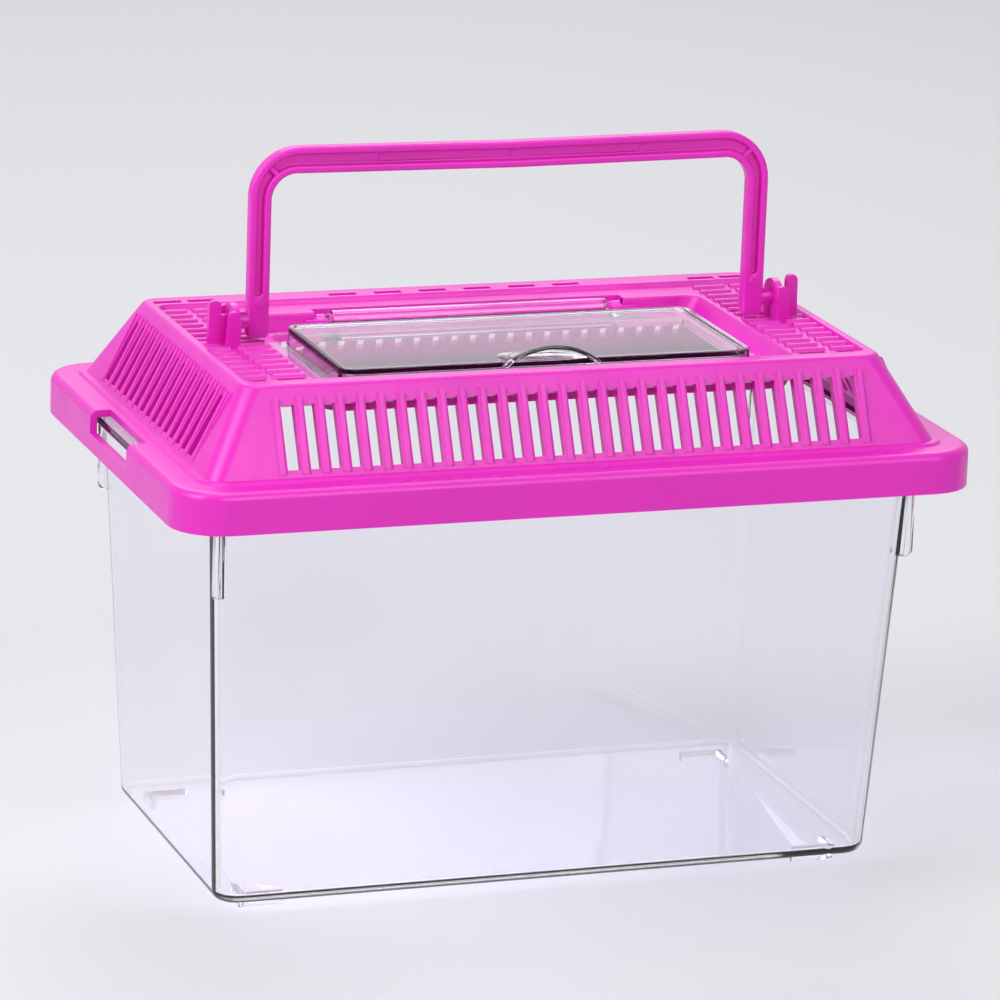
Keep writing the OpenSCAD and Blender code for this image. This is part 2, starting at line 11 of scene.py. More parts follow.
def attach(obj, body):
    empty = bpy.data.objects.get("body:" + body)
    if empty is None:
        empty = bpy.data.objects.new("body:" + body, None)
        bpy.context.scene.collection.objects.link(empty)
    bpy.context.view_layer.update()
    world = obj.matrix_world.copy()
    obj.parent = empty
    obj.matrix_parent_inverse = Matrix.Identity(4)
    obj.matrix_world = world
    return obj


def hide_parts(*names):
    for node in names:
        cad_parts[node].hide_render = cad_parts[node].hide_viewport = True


bl_info = {
    "name": "Pet keeper",
    "version": (1, 0, 0),
    "blender": (4, 5, 0),
    "location": "View3D > Sidebar > Pet keeper",
    "description": "Models a clear pet keeper with a vented lid, a feeding door and a handle",
    "category": "Object",
}

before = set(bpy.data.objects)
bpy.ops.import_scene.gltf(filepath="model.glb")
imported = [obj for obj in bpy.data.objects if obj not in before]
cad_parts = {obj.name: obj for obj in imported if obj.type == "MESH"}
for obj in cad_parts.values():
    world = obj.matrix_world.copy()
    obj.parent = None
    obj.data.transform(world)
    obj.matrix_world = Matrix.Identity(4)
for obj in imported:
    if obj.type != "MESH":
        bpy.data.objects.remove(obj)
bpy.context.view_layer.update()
MM = 0.001
CORNER_STEPS = 6
# Closer than this counts as the same place
HAIR = 0.01 * MM
# How far pieces reach into one another where they join
LAP = 0.3 * MM
# Radii of small roundings, from the handle's and the walls' edges down to the marks' edges
HANDLE_EDGE, WALL_EDGE, EDGE, SMALL_EDGE = 0.45 * MM, 0.35 * MM, 0.3 * MM, 0.25 * MM
FINE_EDGE, BOSS_EDGE, MARK_EDGE = 0.2 * MM, 0.15 * MM, 0.1 * MM
# Where the louvres' windows and their bars begin and end, along X
LOUVRE_WINDOWS = ((56.0 * MM, 62.3 * MM), (64.8 * MM, 69.3 * MM))
LOUVRE_BARS = ((55.4 * MM, 62.9 * MM), (64.2 * MM, 70.0 * MM))
# The middles of the two slits at each end of the back crest
END_SLITS = (59.2 * MM, 67.0 * MM)
# How far the middles of the roof's sloped faces and of the back crest lie from the centre, at least
LONG_SLOPE, END_SLOPE, BACK_CREST = 38 * MM, 70 * MM, 33 * MM
# The ears' feet end here, along X
EAR_FOOT_END = 69.6 * MM
# Places of the marks in the handle's groove, along X
MARKS = (-30 * MM, 0, 30 * MM)
# The point that the lamps face
LAMPS_AIM = Vector((0, 0, 80 * MM))
PINK, CLEAR = "pink_polypropylene", "clear_polystyrene"


# ---- sizes and colours a user would change ----


def linear(code):
    """Linear colour, with alpha, from an sRGB hex value."""
    values = [int(code[i:i + 2], 16) / 255 for i in (1, 3, 5)]
    return [v / 12.92 if v <= 0.04045 else ((v + 0.055) / 1.055) ** 2.4 for v in values] + [1.0]


def colour(description, code):
    """A colour property whose default is given as an sRGB hex value."""
    return FloatVectorProperty(
        description=description, subtype="COLOR", size=4, default=linear(code), min=0.0, max=1.0)


def length(description, millimetres):
    """A length property whose default is given in millimetres."""
    return FloatProperty(
        description=description, default=millimetres * MM, precision=5, unit="LENGTH", subtype="DISTANCE")


def count(description, number):
    """A property that holds a whole number."""
    return IntProperty(description=description, default=number)


def named(group):
    """Names each property of a group after its identifier, as in "Rim length" for rim_length."""
    for identifier, setting in group.__annotations__.items():
        setting.keywords["name"] = identifier.replace("_", " ").capitalize()
    return group


@named
class TankSizes(bpy.types.PropertyGroup):
    """The clear tank."""

    rim_length: length("Length over the rim flange", 175.2)
    rim_width: length("Width over the rim flange", 110.2)
    rim_top: length("Height of the rim's upper face", 96.7)
    rim_corner: length("Radius of the flange's corners", 8.6)
    mouth_length: length("Length of the walls at the rim", 159.0)
    mouth_width: length("Width of the walls at the rim", 93.3)
    floor_length: length("Length of the floor", 150.4)
    floor_width: length("Width of the floor", 81.8)
    corner: length("Radius of the upright corners", 5.5)
    wall: length("Thickness of the walls", 1.8)
    foot_height: length("Height of the feet", 2.5)
    foot_x: length("Distance of a foot's corner along X", 69.0)
    foot_y: length("Distance of a foot's corner along Y", 35.3)
    foot_long: length("Long leg of a foot", 10.0)
    foot_short: length("Short leg of a foot", 7.0)
    foot_thickness: length("Thickness of a foot's legs", 1.2)
    fin_low: length("Height of a corner fin's lower end", 72.3)
    fin_reach: length("How far a fin stands out of its corner", 3.3)
    fin_thickness: length("Thickness of a fin", 1.8)


@named
class LidSizes(bpy.types.PropertyGroup):
    """The vented lid."""

    skirt_length: length("Length of the skirt", 180.0)
    skirt_width: length("Width of the skirt", 115.0)
    skirt_low: length("Height of the skirt's lower edge", 89.7)
    skirt_top: length("Height of the ledge on the skirt", 98.7)
    skirt_corner: length("Radius of the skirt's corners", 11.0)
    skirt_round: length("Rounding of the skirt's upper edge", 1.8)
    plinth: length("How far the low step stands out round the roof", 1.6)
    plinth_height: length("Height of the step round the roof", 0.5)
    foot_length: length("Length of the roof at its foot", 165.0)
    foot_width: length("Width of the roof at its foot", 100.0)
    top_length: length("Length of the roof at its crest", 144.2)
    top_width: length("Width of the roof at its crest", 80.6)
    crest: length("Height of the crest", 116.9)
    panel: length("Height of the sunken panel", 115.8)
    roof_corner: length("Radius of the roof's corner edges", 4.0)
    wall: length("Thickness of the lid's walls", 1.6)
    crest_end: length("Width of the crest at the ends", 2.0)
    crest_front: length("Width of the crest at the front", 4.0)
    crest_back: length("Width of the crest at the back", 6.9)
    well_length: length("Length of the well at the panel", 109.0)
    well_floor_length: length("Length of the well at its ledge", 104.4)
    well_front: length("Place of the well's front wall", -35.2)
    well_back: length("Place of the well's back wall", 24.4)
    well_floor: length("Height of the door's ledge", 111.1)
    well_ledge: length("Width of the door's ledge", 3.8)
    notch_length: length("Length of the finger notch", 29.0)
    notch_floor: length("Height of the finger notch's floor", 93.6)
    notch_reach: length("How far the finger notch goes in", 4.6)


@named
class GrilleSizes(bpy.types.PropertyGroup):
    """Ribs, louvres and slits."""

    long_ribs: count("Ribs at the front and the back", 30)
    long_pitch: length("Distance between the long sides' ribs", 4.5)
    end_ribs: count("Ribs at each end", 16)
    end_pitch: length("Distance between the end ribs", 4.6)
    rib_width: length("Width of a rib", 2.1)
    rib_nose: length("Width of the nose along the middle of a rib", 1.05)
    rib_flank: length("How far the flanks beside the nose stand out of the wall", 0.1)
    rib_shift: length("How much further out the last rib of a grille stands", 0.6)
    rib_depth: length("Depth of a rib", 3.0)
    rib_proud: length("How far a rib stands out of the wall", 0.9)
    rib_round: length("Rounding of a rib's edges", 0.25)
    slot_low: length("Height of the slots' lower ends", 100.7)
    slot_high: length("Height of the slots' upper ends", 113.0)
    louvre_bars: count("Bars in each louvre", 15)
    louvre_pitch: length("Distance between the louvre bars", 4.27)
    louvre_bar: length("Diameter of a louvre bar", 2.0)
    louvre_proud: length("How far a bar stands above the panel", 0.7)
    slits: count("Slits in the middle of the back crest", 6)
    slit_pitch: length("Distance between the slits", 10.6)
    slit_length: length("Length of a slit", 6.4)
    slit_width: length("Width of a slit", 2.0)


@named
class DoorSizes(bpy.types.PropertyGroup):
    """The clear feeding door and its hinge."""

    length: length("Length over the flange", 103.0)
    front: length("Place of the front edge", -34.5)
    back: length("Place of the back edge", 21.0)
    sheet: length("Thickness of the door", 1.4)
    raised_length: length("Length of the raised panel", 93.6)
    raised_front: length("Front edge of the raised panel", -28.5)
    raised_back: length("Back edge of the raised panel", 12.7)
    raised_top: length("Height of the raised panel", 115.9)
    flange_drop: length("How far the flange lies below the raised panel", 3.4)
    door_corner: length("Radius of the door's corners", 3.0)
    bead: length("Width of the bead round the raised panel", 1.2)
    bead_height: length("Height of the bead", 0.4)
    grip_width: length("Width of the finger grip", 21.8)
    grip_height: length("Height of the finger grip", 4.0)
    grip_depth: length("Depth of the finger grip", 12.2)
    grip_overhang: length("How far the grip stands forward", 1.7)
    grip_sheet: length("Thickness of the grip", 0.9)
    catch_length: length("Length of the catch", 34.0)
    catch_drop: length("How far the catch reaches down", 1.2)
    barrel_length: length("Length of the hinge barrel", 64.6)
    barrel_radius: length("Radius of the hinge barrel", 1.8)
    pin_radius: length("Radius of the hinge pins", 1.1)
    pin_length: length("Length of each hinge pin", 3.6)
    notch_gap: length("Gap round the barrel and its pins", 0.5)
    hinge_y: length("Place of the hinge's axis", 25.3)
    hinge_z: length("Height of the hinge's axis", 114.0)


@named
class HandleSizes(bpy.types.PropertyGroup):
    """The folding handle and its ears."""

    length: length("Length over both legs", 119.2)
    top: length("Height of the bar's upper edge", 158.8)
    leg: length("Width of a leg", 4.7)
    bar: length("Height of the bar", 5.8)
    bow: length("How far the middle of the bar sags", 0.45)
    thickness: length("Thickness of the handle", 3.0)
    corner: length("Outer radius of the corners", 11.0)
    groove: length("Depth of the groove", 1.4)
    border: length("Width of the borders beside the groove", 1.6)
    groove_foot: length("Height of the groove's lower ends", 126.5)
    pivot: length("Height of the pivot", 121.0)
    leg_foot: length("Height of the legs' lower ends", 117.1)
    pin_radius: length("Radius of the pivot pins", 1.75)
    ear_x: length("Place of an ear's inner face", 62.0)
    ear_web: length("Thickness of an ear's web", 1.5)
    ear_width: length("Width of an ear", 8.6)
    ear_drop: length("Distance of the round top's middle below the pivot", 0.4)
    ear_flange: length("Thickness of an ear's flanges", 1.4)
    ear_reach: length("How far the flanges stand out", 3.2)
    ear_taper: length("How much narrower the flanges are at the top", 0.6)
    ear_rise: length("Height of the flanges above the pivot", 2.8)
    ear_rib: length("How far the middle rib stands out", 6.3)
    rib_rise: length("Height of the middle rib above the pivot", 1.5)
    finger: length("Width of the finger at the end of the middle rib", 2.8)
    finger_rise: length("Height of the finger above the pivot", 4.65)


@named
class KeeperColours(bpy.types.PropertyGroup):
    """Colours of the plastics and of the studio."""

    pink: colour("Colour of the lid and the handle", "#E01FBA")
    clear: colour("Tint of the clear plastic", "#FAF9FD")
    floor: colour("Colour of the studio's paper", "#D9D9DC")
    surround: colour("Colour of the studio's backdrop", "#E6E6E9")


# ---- shared modelling steps ----


def mid(face):
    """The middle of a face."""
    return face.calc_center_median()


def rounded_ring(bm, size_x, size_y, corner, height, centre_y=0.0):
    """Adds the outline of a rectangle with rounded corners and returns its edges."""
    before = set(bm.faces)
    place = Matrix.Translation((0, centre_y, height)) @ Matrix.Diagonal((size_x / 2, size_y / 2, 1, 1))
    made = bmesh.ops.create_grid(bm, x_segments=1, y_segments=1, size=1.0, matrix=place)
    bmesh.ops.bevel(
        bm, geom=made["verts"], offset=corner, offset_type="OFFSET", segments=CORNER_STEPS,
        profile=0.5, affect="VERTICES", material=-1)
    face = [f for f in bm.faces if f not in before][0]
    edges = list(face.edges)
    bmesh.ops.delete(bm, geom=[face], context="FACES_ONLY")
    return edges


def ring_stack(bm, *rows):
    """Joins rounded rings by bands of faces; a row is length, width, corner, height and maybe middle in Y."""
    rings = [rounded_ring(bm, *row) for row in rows]
    outlines = [{v for e in ring for v in e.verts} for ring in rings]
    # The rings stand 50 mm apart meanwhile, so none share a plane
    for i, outline in enumerate(outlines):
        for v in outline:
            v.co.z = i * 50 * MM
    for low, high in zip(rings, rings[1:]):
        bmesh.ops.bridge_loops(bm, edges=low + high)
    for row, outline in zip(rows, outlines):
        for v in outline:
            v.co.z = row[3]
    return rings


def soften(bm, edges, width, steps=4):
    """Rounds a run of edges."""
    bmesh.ops.bevel(
        bm, geom=[e for e in edges if e.is_valid], offset=width, offset_type="OFFSET", segments=steps,
        profile=0.5, affect="EDGES", clamp_overlap=True, material=-1)


def cap(bm, edges):
    """Closes a ring with one face."""
    bmesh.ops.contextual_create(bm, geom=edges)


def face_outwards(bm):
    """Makes the faces agree, with the wall that lies furthest along X facing that way."""
    bmesh.ops.recalc_face_normals(bm, faces=bm.faces)
    bm.normal_update()
    walls = [f for f in bm.faces if abs(f.normal.x) > 0.7]
    if max(walls, key=lambda f: mid(f).x).normal.x < 0:
        bmesh.ops.reverse_faces(bm, faces=bm.faces)


def fresh(made, kind=bmesh.types.BMVert):
    """The elements of one kind that a step made, vertices unless told otherwise."""
    return [e for e in made["geom"] if isinstance(e, kind)]


def cut_window(bm, wall, low, high):
    """Cuts a box-shaped window out of the faces that wall picks, from its corners low and high."""
    for axis in range(3):
        for value in (low[axis], high[axis]):
            if value is None:
                continue
            normal = Vector((0, 0, 0))
            normal[axis] = 1
            faces = [f for f in bm.faces if wall(f)]
            parts = set(faces) | {e for f in faces for e in f.edges} | {v for f in faces for v in f.verts}
            bmesh.ops.bisect_plane(bm, geom=list(parts), dist=1e-7, plane_co=normal * value, plane_no=normal)

    def inside(face):
        return all(
            (least is None or place > least) and (most is None or place < most)
            for place, least, most in zip(mid(face), low, high))

    bmesh.ops.delete(bm, geom=[f for f in bm.faces if wall(f) and inside(f)], context="FACES")


def rounded_box(bm, low, high, width, steps=3, round_foot=0.0):
    """Adds a box from its low corner to its high one, with rounded edges, and returns its vertices.

    round_foot rounds the lower edge at the +X side more strongly."""
    before = set(bm.verts)
    old = set(bm.edges)
    size = Vector(high) - Vector(low)
    place = Matrix.Translation((Vector(low) + Vector(high)) / 2) @ Matrix.Diagonal((*size, 1))
    bmesh.ops.create_cube(bm, size=1.0, matrix=place)
    if round_foot:
        foot = [e for e in bm.edges if e not in old and all(
            v.co.x > high[0] - width / 2 and v.co.z < low[2] + width / 2 for v in e.verts)]
        soften(bm, foot, round_foot, 5)
    soften(bm, [e for e in bm.edges if e not in old and e.calc_face_angle(0) > 0.7], width, steps)
    return [v for v in bm.verts if v not in before]


def rod(bm, start, end, radius, sides=24, chamfer=0.0):
    """Adds a closed round rod between two points and returns its vertices."""
    before = set(bm.verts)
    start, end = Vector(start), Vector(end)
    along = end - start
    turn = along.to_track_quat("Z", "Y").to_matrix().to_4x4()
    made = bmesh.ops.create_cone(
        bm, cap_ends=True, cap_tris=False, segments=sides, radius1=radius, radius2=radius,
        depth=along.length, matrix=Matrix.Translation((start + end) / 2) @ turn)
    if chamfer:
        rims = {
            e for v in made["verts"] for e in v.link_edges
            if len([f for f in e.link_faces if len(f.verts) > 4]) == 1
        }
        soften(bm, list(rims), chamfer, 2)
    return [v for v in bm.verts if v not in before]


def mirrored_ends(bm):
    """Repeats everything on the other side of X = 0."""
    geometry = list(bm.verts) + list(bm.edges) + list(bm.faces)
    bmesh.ops.mirror(bm, geom=geometry, matrix=Matrix.Identity(4), merge_dist=-1, axis="X")
    bmesh.ops.recalc_face_normals(bm, faces=bm.faces)


def smooth_faces(mesh):
    """Lets the shading run smoothly over the rounded edges."""
    mesh.polygons.foreach_set("use_smooth", [True] * len(mesh.polygons))


def raw_object(name, bm):
    """Turns a bmesh into an object at the origin."""
    mesh = bpy.data.meshes.new(name)
    bm.to_mesh(mesh)
    bm.free()
    smooth_faces(mesh)
    piece = bpy.data.objects.new(name, mesh)
    bpy.context.scene.collection.objects.link(piece)
    return piece


def rod_piece(name, *shape):
    """A round rod as an object of its own."""
    bm = bmesh.new()
    rod(bm, *shape)
    return raw_object(name, bm)


def box_piece(name, low, high, width, steps=3, round_foot=0.0, place=Matrix.Identity(4)):
    """A box with rounded edges as an object of its own, drawn at the origin and put in place."""
    bm = bmesh.new()
    verts = rounded_box(bm, low, high, width, steps, round_foot)
    bmesh.ops.transform(bm, matrix=place, verts=verts)
    return raw_object(name, bm)


def walled(name, bm, wall, width, steps):
    """Turns a sheet into a piece with a wall on its inner side and rounded edges."""
    piece = raw_object(name, bm)
    solid = piece.modifiers.new("Wall", "SOLIDIFY")
    solid.thickness = wall
    solid.offset = -1
    solid.use_even_offset = True
    solid.use_quality_normals = True
    round_edges(piece, width, steps)
    return piece


def round_edges(piece, width, steps=2, angle=34):
    """Rounds the remaining sharp edges of a piece."""
    edges = piece.modifiers.new("Edges", "BEVEL")
    edges.width = width
    edges.segments = steps
    edges.limit_method = "ANGLE"
    edges.angle_limit = math.radians(angle)
    edges.use_clamp_overlap = True
    edges.miter_outer = "MITER_ARC"


def settle(piece):
    """Applies a piece's modifiers to its mesh."""
    bpy.context.view_layer.update()
    graph = bpy.context.evaluated_depsgraph_get()
    mesh = bpy.data.meshes.new_from_object(piece.evaluated_get(graph))
    old = piece.data
    piece.modifiers.clear()
    piece.data = mesh
    bpy.data.meshes.remove(old)
    mesh.name = piece.name
    smooth_faces(mesh)


def fuse(piece, others):
    """Joins closed pieces into one closed skin."""
    for other in others:
        join = piece.modifiers.new("Fuse", "BOOLEAN")
        join.operation = "UNION"
        join.solver = "EXACT"
        join.object = other
    settle(piece)
    for other in others:
        bpy.data.objects.remove(other)


def dress(piece, plastic, body, replaced=()):
    """Gives a piece its shading, its material and the body that it moves with."""
    # Flat faces stay flat beside their rounded edges
    shade = piece.modifiers.new("Shading", "WEIGHTED_NORMAL")
    shade.mode = "FACE_AREA"
    shade.weight = 60
    shade.keep_sharp = True
    piece.data.materials.clear()
    piece.data.materials.append(PLASTICS[plastic]())
    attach(piece, body)
    if replaced:
        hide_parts(*replaced)


# ---- materials ----


def node(tree, kind, settings=None, **links):
    """Adds a node, sets its values and links its inputs."""
    made = tree.nodes.new(kind)
    for key, value in (settings or {}).items():
        if hasattr(made, key):
            setattr(made, key, value)
        else:
            made.inputs[key].default_value = value
    for key, socket in links.items():
        tree.links.new(socket, made.inputs[key.replace("_", " ")])
    return made


def new_material(name):
    """A material with only its output node."""
    material = bpy.data.materials.new(name)
    material.use_nodes = True
    material.node_tree.nodes.clear()
    return material, material.node_tree


def object_place(tree):
    """Coordinates that stay with the object, in metres."""
    return node(tree, "ShaderNodeTexCoord").outputs["Object"]


def noise(tree, here, scale, detail):
    """The values of a noise texture."""
    return node(tree, "ShaderNodeTexNoise", {"Scale": scale, "Detail": detail}, Vector=here).outputs["Fac"]


def bump(tree, height, strength, distance, **under):
    """Normals bent by a relief, with its depth in metres."""
    relief = {"Strength": strength, "Distance": distance}
    return node(tree, "ShaderNodeBump", relief, Height=height, **under).outputs["Normal"]


def spread(tree, values, low, high, least, most):
    """Values from low to high, spread from least to most."""
    ends = {"From Min": low, "From Max": high, "To Min": least, "To Max": most}
    return node(tree, "ShaderNodeMapRange", ends, Value=values).outputs["Result"]


def shades(tree, values, base, low, high):
    """Colours from a darker to a lighter shade of one colour."""
    ramp = node(tree, "ShaderNodeValToRGB", {}, Fac=values)
    for element, place, share in zip(ramp.color_ramp.elements, (0.32, 0.70), (low, high)):
        element.position = place
        element.color = [min(1.0, c * share) for c in base[:3]] + [1.0]
    return ramp.outputs["Color"]


def mixed(tree, share, first, second):
    """Two shaders mixed by a share."""
    mix = node(tree, "ShaderNodeMixShader", {}, Fac=share)
    tree.links.new(first, mix.inputs[1])
    tree.links.new(second, mix.inputs[2])
    return mix.outputs["Shader"]


def pink_polypropylene():
    """Injection-moulded polypropylene: satin and a little translucent, so its thin edges look lighter."""
    name = "Moulded pink polypropylene"
    if name in bpy.data.materials:
        return bpy.data.materials[name]
    material, tree = new_material(name)
    here = object_place(tree)
    # Pigment that is a little uneven, in clouds about 40 mm across
    tint = shades(tree, noise(tree, here, 25.0, 3.0), bpy.context.scene.keeper_colours.pink, 0.93, 1.06)
    # Moulded skin: an orange peel about 0.3 mm across, drawn as coarse as 1.2 mm so that it shows
    skin = bump(tree, noise(tree, here, 850.0, 2.0), 0.12, 0.0001)
    # Shallow sink marks and flow ripples about 18 mm long
    flow = bump(tree, noise(tree, here, 55.0, 1.0), 0.20, 0.0003, Normal=skin)
    # Faint rubbed patches from handling, about 9 mm across
    gloss = spread(tree, noise(tree, here, 110.0, 4.0), 0.35, 0.70, 0.30, 0.39)
    plastic = node(
        tree, "ShaderNodeBsdfPrincipled",
        {"IOR": 1.49, "Subsurface Weight": 0.30, "Subsurface Radius": (0.004, 0.001, 0.003),
         "Subsurface Scale": 0.6},
        Base_Color=tint, Roughness=gloss, Normal=flow)
    node(tree, "ShaderNodeOutputMaterial", {}, Surface=plastic.outputs["BSDF"])
    return material


def clear_polystyrene():
    """Injection-moulded clear polystyrene: glossy and water-clear, with a faint lilac tint at its edges."""
    name = "Moulded clear polystyrene"
    if name in bpy.data.materials:
        return bpy.data.materials[name]
    material, tree = new_material(name)
    here = object_place(tree)
    # The resin's tint, a little stronger where it pooled, in clouds about 50 mm across
    tint = shades(tree, noise(tree, here, 20.0, 1.0), bpy.context.scene.keeper_colours.clear, 0.985, 1.015)
    # Upright hairline scratches: 0.1 mm wide in truth, drawn 0.7 mm wide so that they show
    stretch = node(tree, "ShaderNodeMapping", {"Scale": (1400.0, 1400.0, 50.0)}, Vector=here)
    gloss = spread(tree, noise(tree, stretch.outputs["Vector"], 1.0, 3.0), 0.50, 0.90, 0.015, 0.08)
    # Moulding ripples about 25 mm long
    wave = bump(tree, noise(tree, here, 40.0, 0.0), 0.12, 0.0003)
    clear = node(
        tree, "ShaderNodeBsdfPrincipled", {"IOR": 1.59, "Transmission Weight": 1.0},
        Base_Color=tint, Roughness=gloss, Normal=wave)
    # Light from the lamps passes through, so what stands behind the plastic is lit
    lamp = node(tree, "ShaderNodeLightPath").outputs["Is Shadow Ray"]
    through = node(tree, "ShaderNodeBsdfTransparent", {"Color": linear("#F6F5FA")})
    both = mixed(tree, lamp, clear.outputs["BSDF"], through.outputs["BSDF"])
    node(tree, "ShaderNodeOutputMaterial", {}, Surface=both)
    return material


PLASTICS = {PINK: pink_polypropylene, CLEAR: clear_polystyrene}


def studio_paper():
    """Matt backdrop paper with a faint tooth."""
    material, tree = new_material("Matt studio paper")
    # Paper fibres about 0.2 mm across, drawn as coarse as 0.8 mm so that they show
    tooth = bump(tree, noise(tree, object_place(tree), 1200.0, 2.0), 0.05, 0.0001)
    paper = node(
        tree, "ShaderNodeBsdfPrincipled",
        {"Base Color": bpy.context.scene.keeper_colours.floor, "Roughness": 0.75}, Normal=tooth)
    node(tree, "ShaderNodeOutputMaterial", {}, Surface=paper.outputs["BSDF"])
    return material


# ---- tank ----


def tank_shell(s):
    """The walls, the floor and the rim, drawn as their outer skin and then given a wall."""
    bm = bmesh.new()
    under_rim = s.rim_top - s.wall
    _, mouth, floor = ring_stack(
        bm,
        (s.rim_length, s.rim_width, s.rim_corner, under_rim),
        (s.mouth_length, s.mouth_width, s.corner, under_rim),
        (s.floor_length, s.floor_width, s.corner, s.foot_height))
    cap(bm, floor)
    face_outwards(bm)
    floor_round, mouth_round = 2.2 * MM, 0.6 * MM
    soften(bm, floor, floor_round, 5)
    soften(bm, mouth, mouth_round, 3)
    tank = walled("tank_walls", bm, s.wall, WALL_EDGE, 3)
    settle(tank)
    return tank


def fin(side_x, side_y, s):
    """An upright fin at 45 degrees between a corner and the rim."""
    share = (s.fin_low - s.foot_height) / (s.rim_top - s.foot_height)
    centre_x = (s.floor_length + share * (s.mouth_length - s.floor_length)) / 2 - s.corner
    centre_y = (s.floor_width + share * (s.mouth_width - s.floor_width)) / 2 - s.corner
    place = Matrix.Translation((side_x * centre_x, side_y * centre_y, 0))
    return box_piece(
        "fin", (s.corner - s.wall / 2, -s.fin_thickness / 2, s.fin_low),
        (s.corner + s.fin_reach, s.fin_thickness / 2, s.rim_top - s.wall / 2), WALL_EDGE,
        round_foot=s.fin_reach / 2, place=place @ Matrix.Rotation(math.atan2(side_y, side_x), 4, "Z"))


def foot(side_x, side_y, s):
    """An L-shaped foot near a corner of the floor."""
    bm = bmesh.new()
    bmesh.ops.create_grid(bm, x_segments=2, y_segments=2, size=1.0)
    for v in bm.verts:
        step_x = {-1: s.foot_long, 0: s.foot_thickness, 1: 0}[round(v.co.x)]
        step_y = {-1: s.foot_short, 0: s.foot_thickness, 1: 0}[round(v.co.y)]
        v.co = (side_x * (s.foot_x - step_x), side_y * (s.foot_y - step_y), 0)
    empty = [
        f for f in bm.faces
        if min(s.foot_x - abs(mid(f).x), s.foot_y - abs(mid(f).y)) > s.foot_thickness
    ]
    bmesh.ops.delete(bm, geom=empty, context="FACES")
    top = bmesh.ops.extrude_face_region(bm, geom=list(bm.faces))
    bmesh.ops.translate(bm, vec=(0, 0, s.foot_height + s.wall / 2), verts=fresh(top))
    bmesh.ops.recalc_face_normals(bm, faces=bm.faces)
    soften(bm, [e for e in bm.edges if e.calc_face_angle(0) > 1], EDGE, 2)
    return raw_object("foot", bm)


class KEEPER_OT_tank(bpy.types.Operator):
    """Models the clear tank with its rim, fins and feet"""

    bl_idname = "keeper.tank"
    bl_label = "Tank"

    def execute(self, context):
        s = context.scene.keeper_tank
        tank = tank_shell(s)
        fuse(tank, [part(x, y, s) for part in (fin, foot) for x in (-1, 1) for y in (-1, 1)])
        dress(tank, CLEAR, "tank", ["tank"])
        return {"FINISHED"}


# ---- lid ----


def lid_skin(bm, s):
    """The outer skin, from the skirt's lower edge to the opening under the door."""
    panel_front = -s.top_width / 2 + s.crest_front
    panel_back = s.top_width / 2 - s.crest_back
    panel_y = (panel_front + panel_back) / 2
    panel_length, panel_depth = s.top_length - 2 * s.crest_end, panel_back - panel_front
    panel_corner = s.roof_corner - s.crest_end
    well_y = (s.well_front + s.well_back) / 2
    well_depth = s.well_back - s.well_front
    step_length, step_width = s.foot_length + 2 * s.plinth, s.foot_width + 2 * s.plinth
    step_corner, step_top = s.roof_corner + s.plinth, s.skirt_top + s.plinth_height
    rings = ring_stack(
        bm,
        (s.skirt_length, s.skirt_width, s.skirt_corner, s.skirt_low),
        (s.skirt_length, s.skirt_width, s.skirt_corner, s.skirt_top),
        (step_length, step_width, step_corner, s.skirt_top),
        (step_length - MM, step_width - MM, step_corner, step_top),
        (s.foot_length - 0.6 * MM, s.foot_width - 0.6 * MM, s.roof_corner, step_top),
        (s.top_length, s.top_width, s.roof_corner, s.crest),
        (panel_length, panel_depth, panel_corner, s.crest, panel_y),
        (panel_length - MM, panel_depth - MM, panel_corner, s.panel, panel_y),
        (s.well_length, well_depth, s.roof_corner, s.panel, well_y),
        (s.well_floor_length, well_depth, s.roof_corner, s.well_floor, well_y),
        (s.well_floor_length - 2 * s.well_ledge, well_depth - 2 * s.well_ledge, s.roof_corner,
         s.well_floor, well_y))
    face_outwards(bm)
    # The skirt's shoulder, the crest's outer and inner edges and the well's rim
    for ring, width, steps in ((1, s.skirt_round, 5), (5, 0.8 * MM, 3), (6, WALL_EDGE, 2), (8, 0.5 * MM, 3)):
        soften(bm, rings[ring], width, steps)


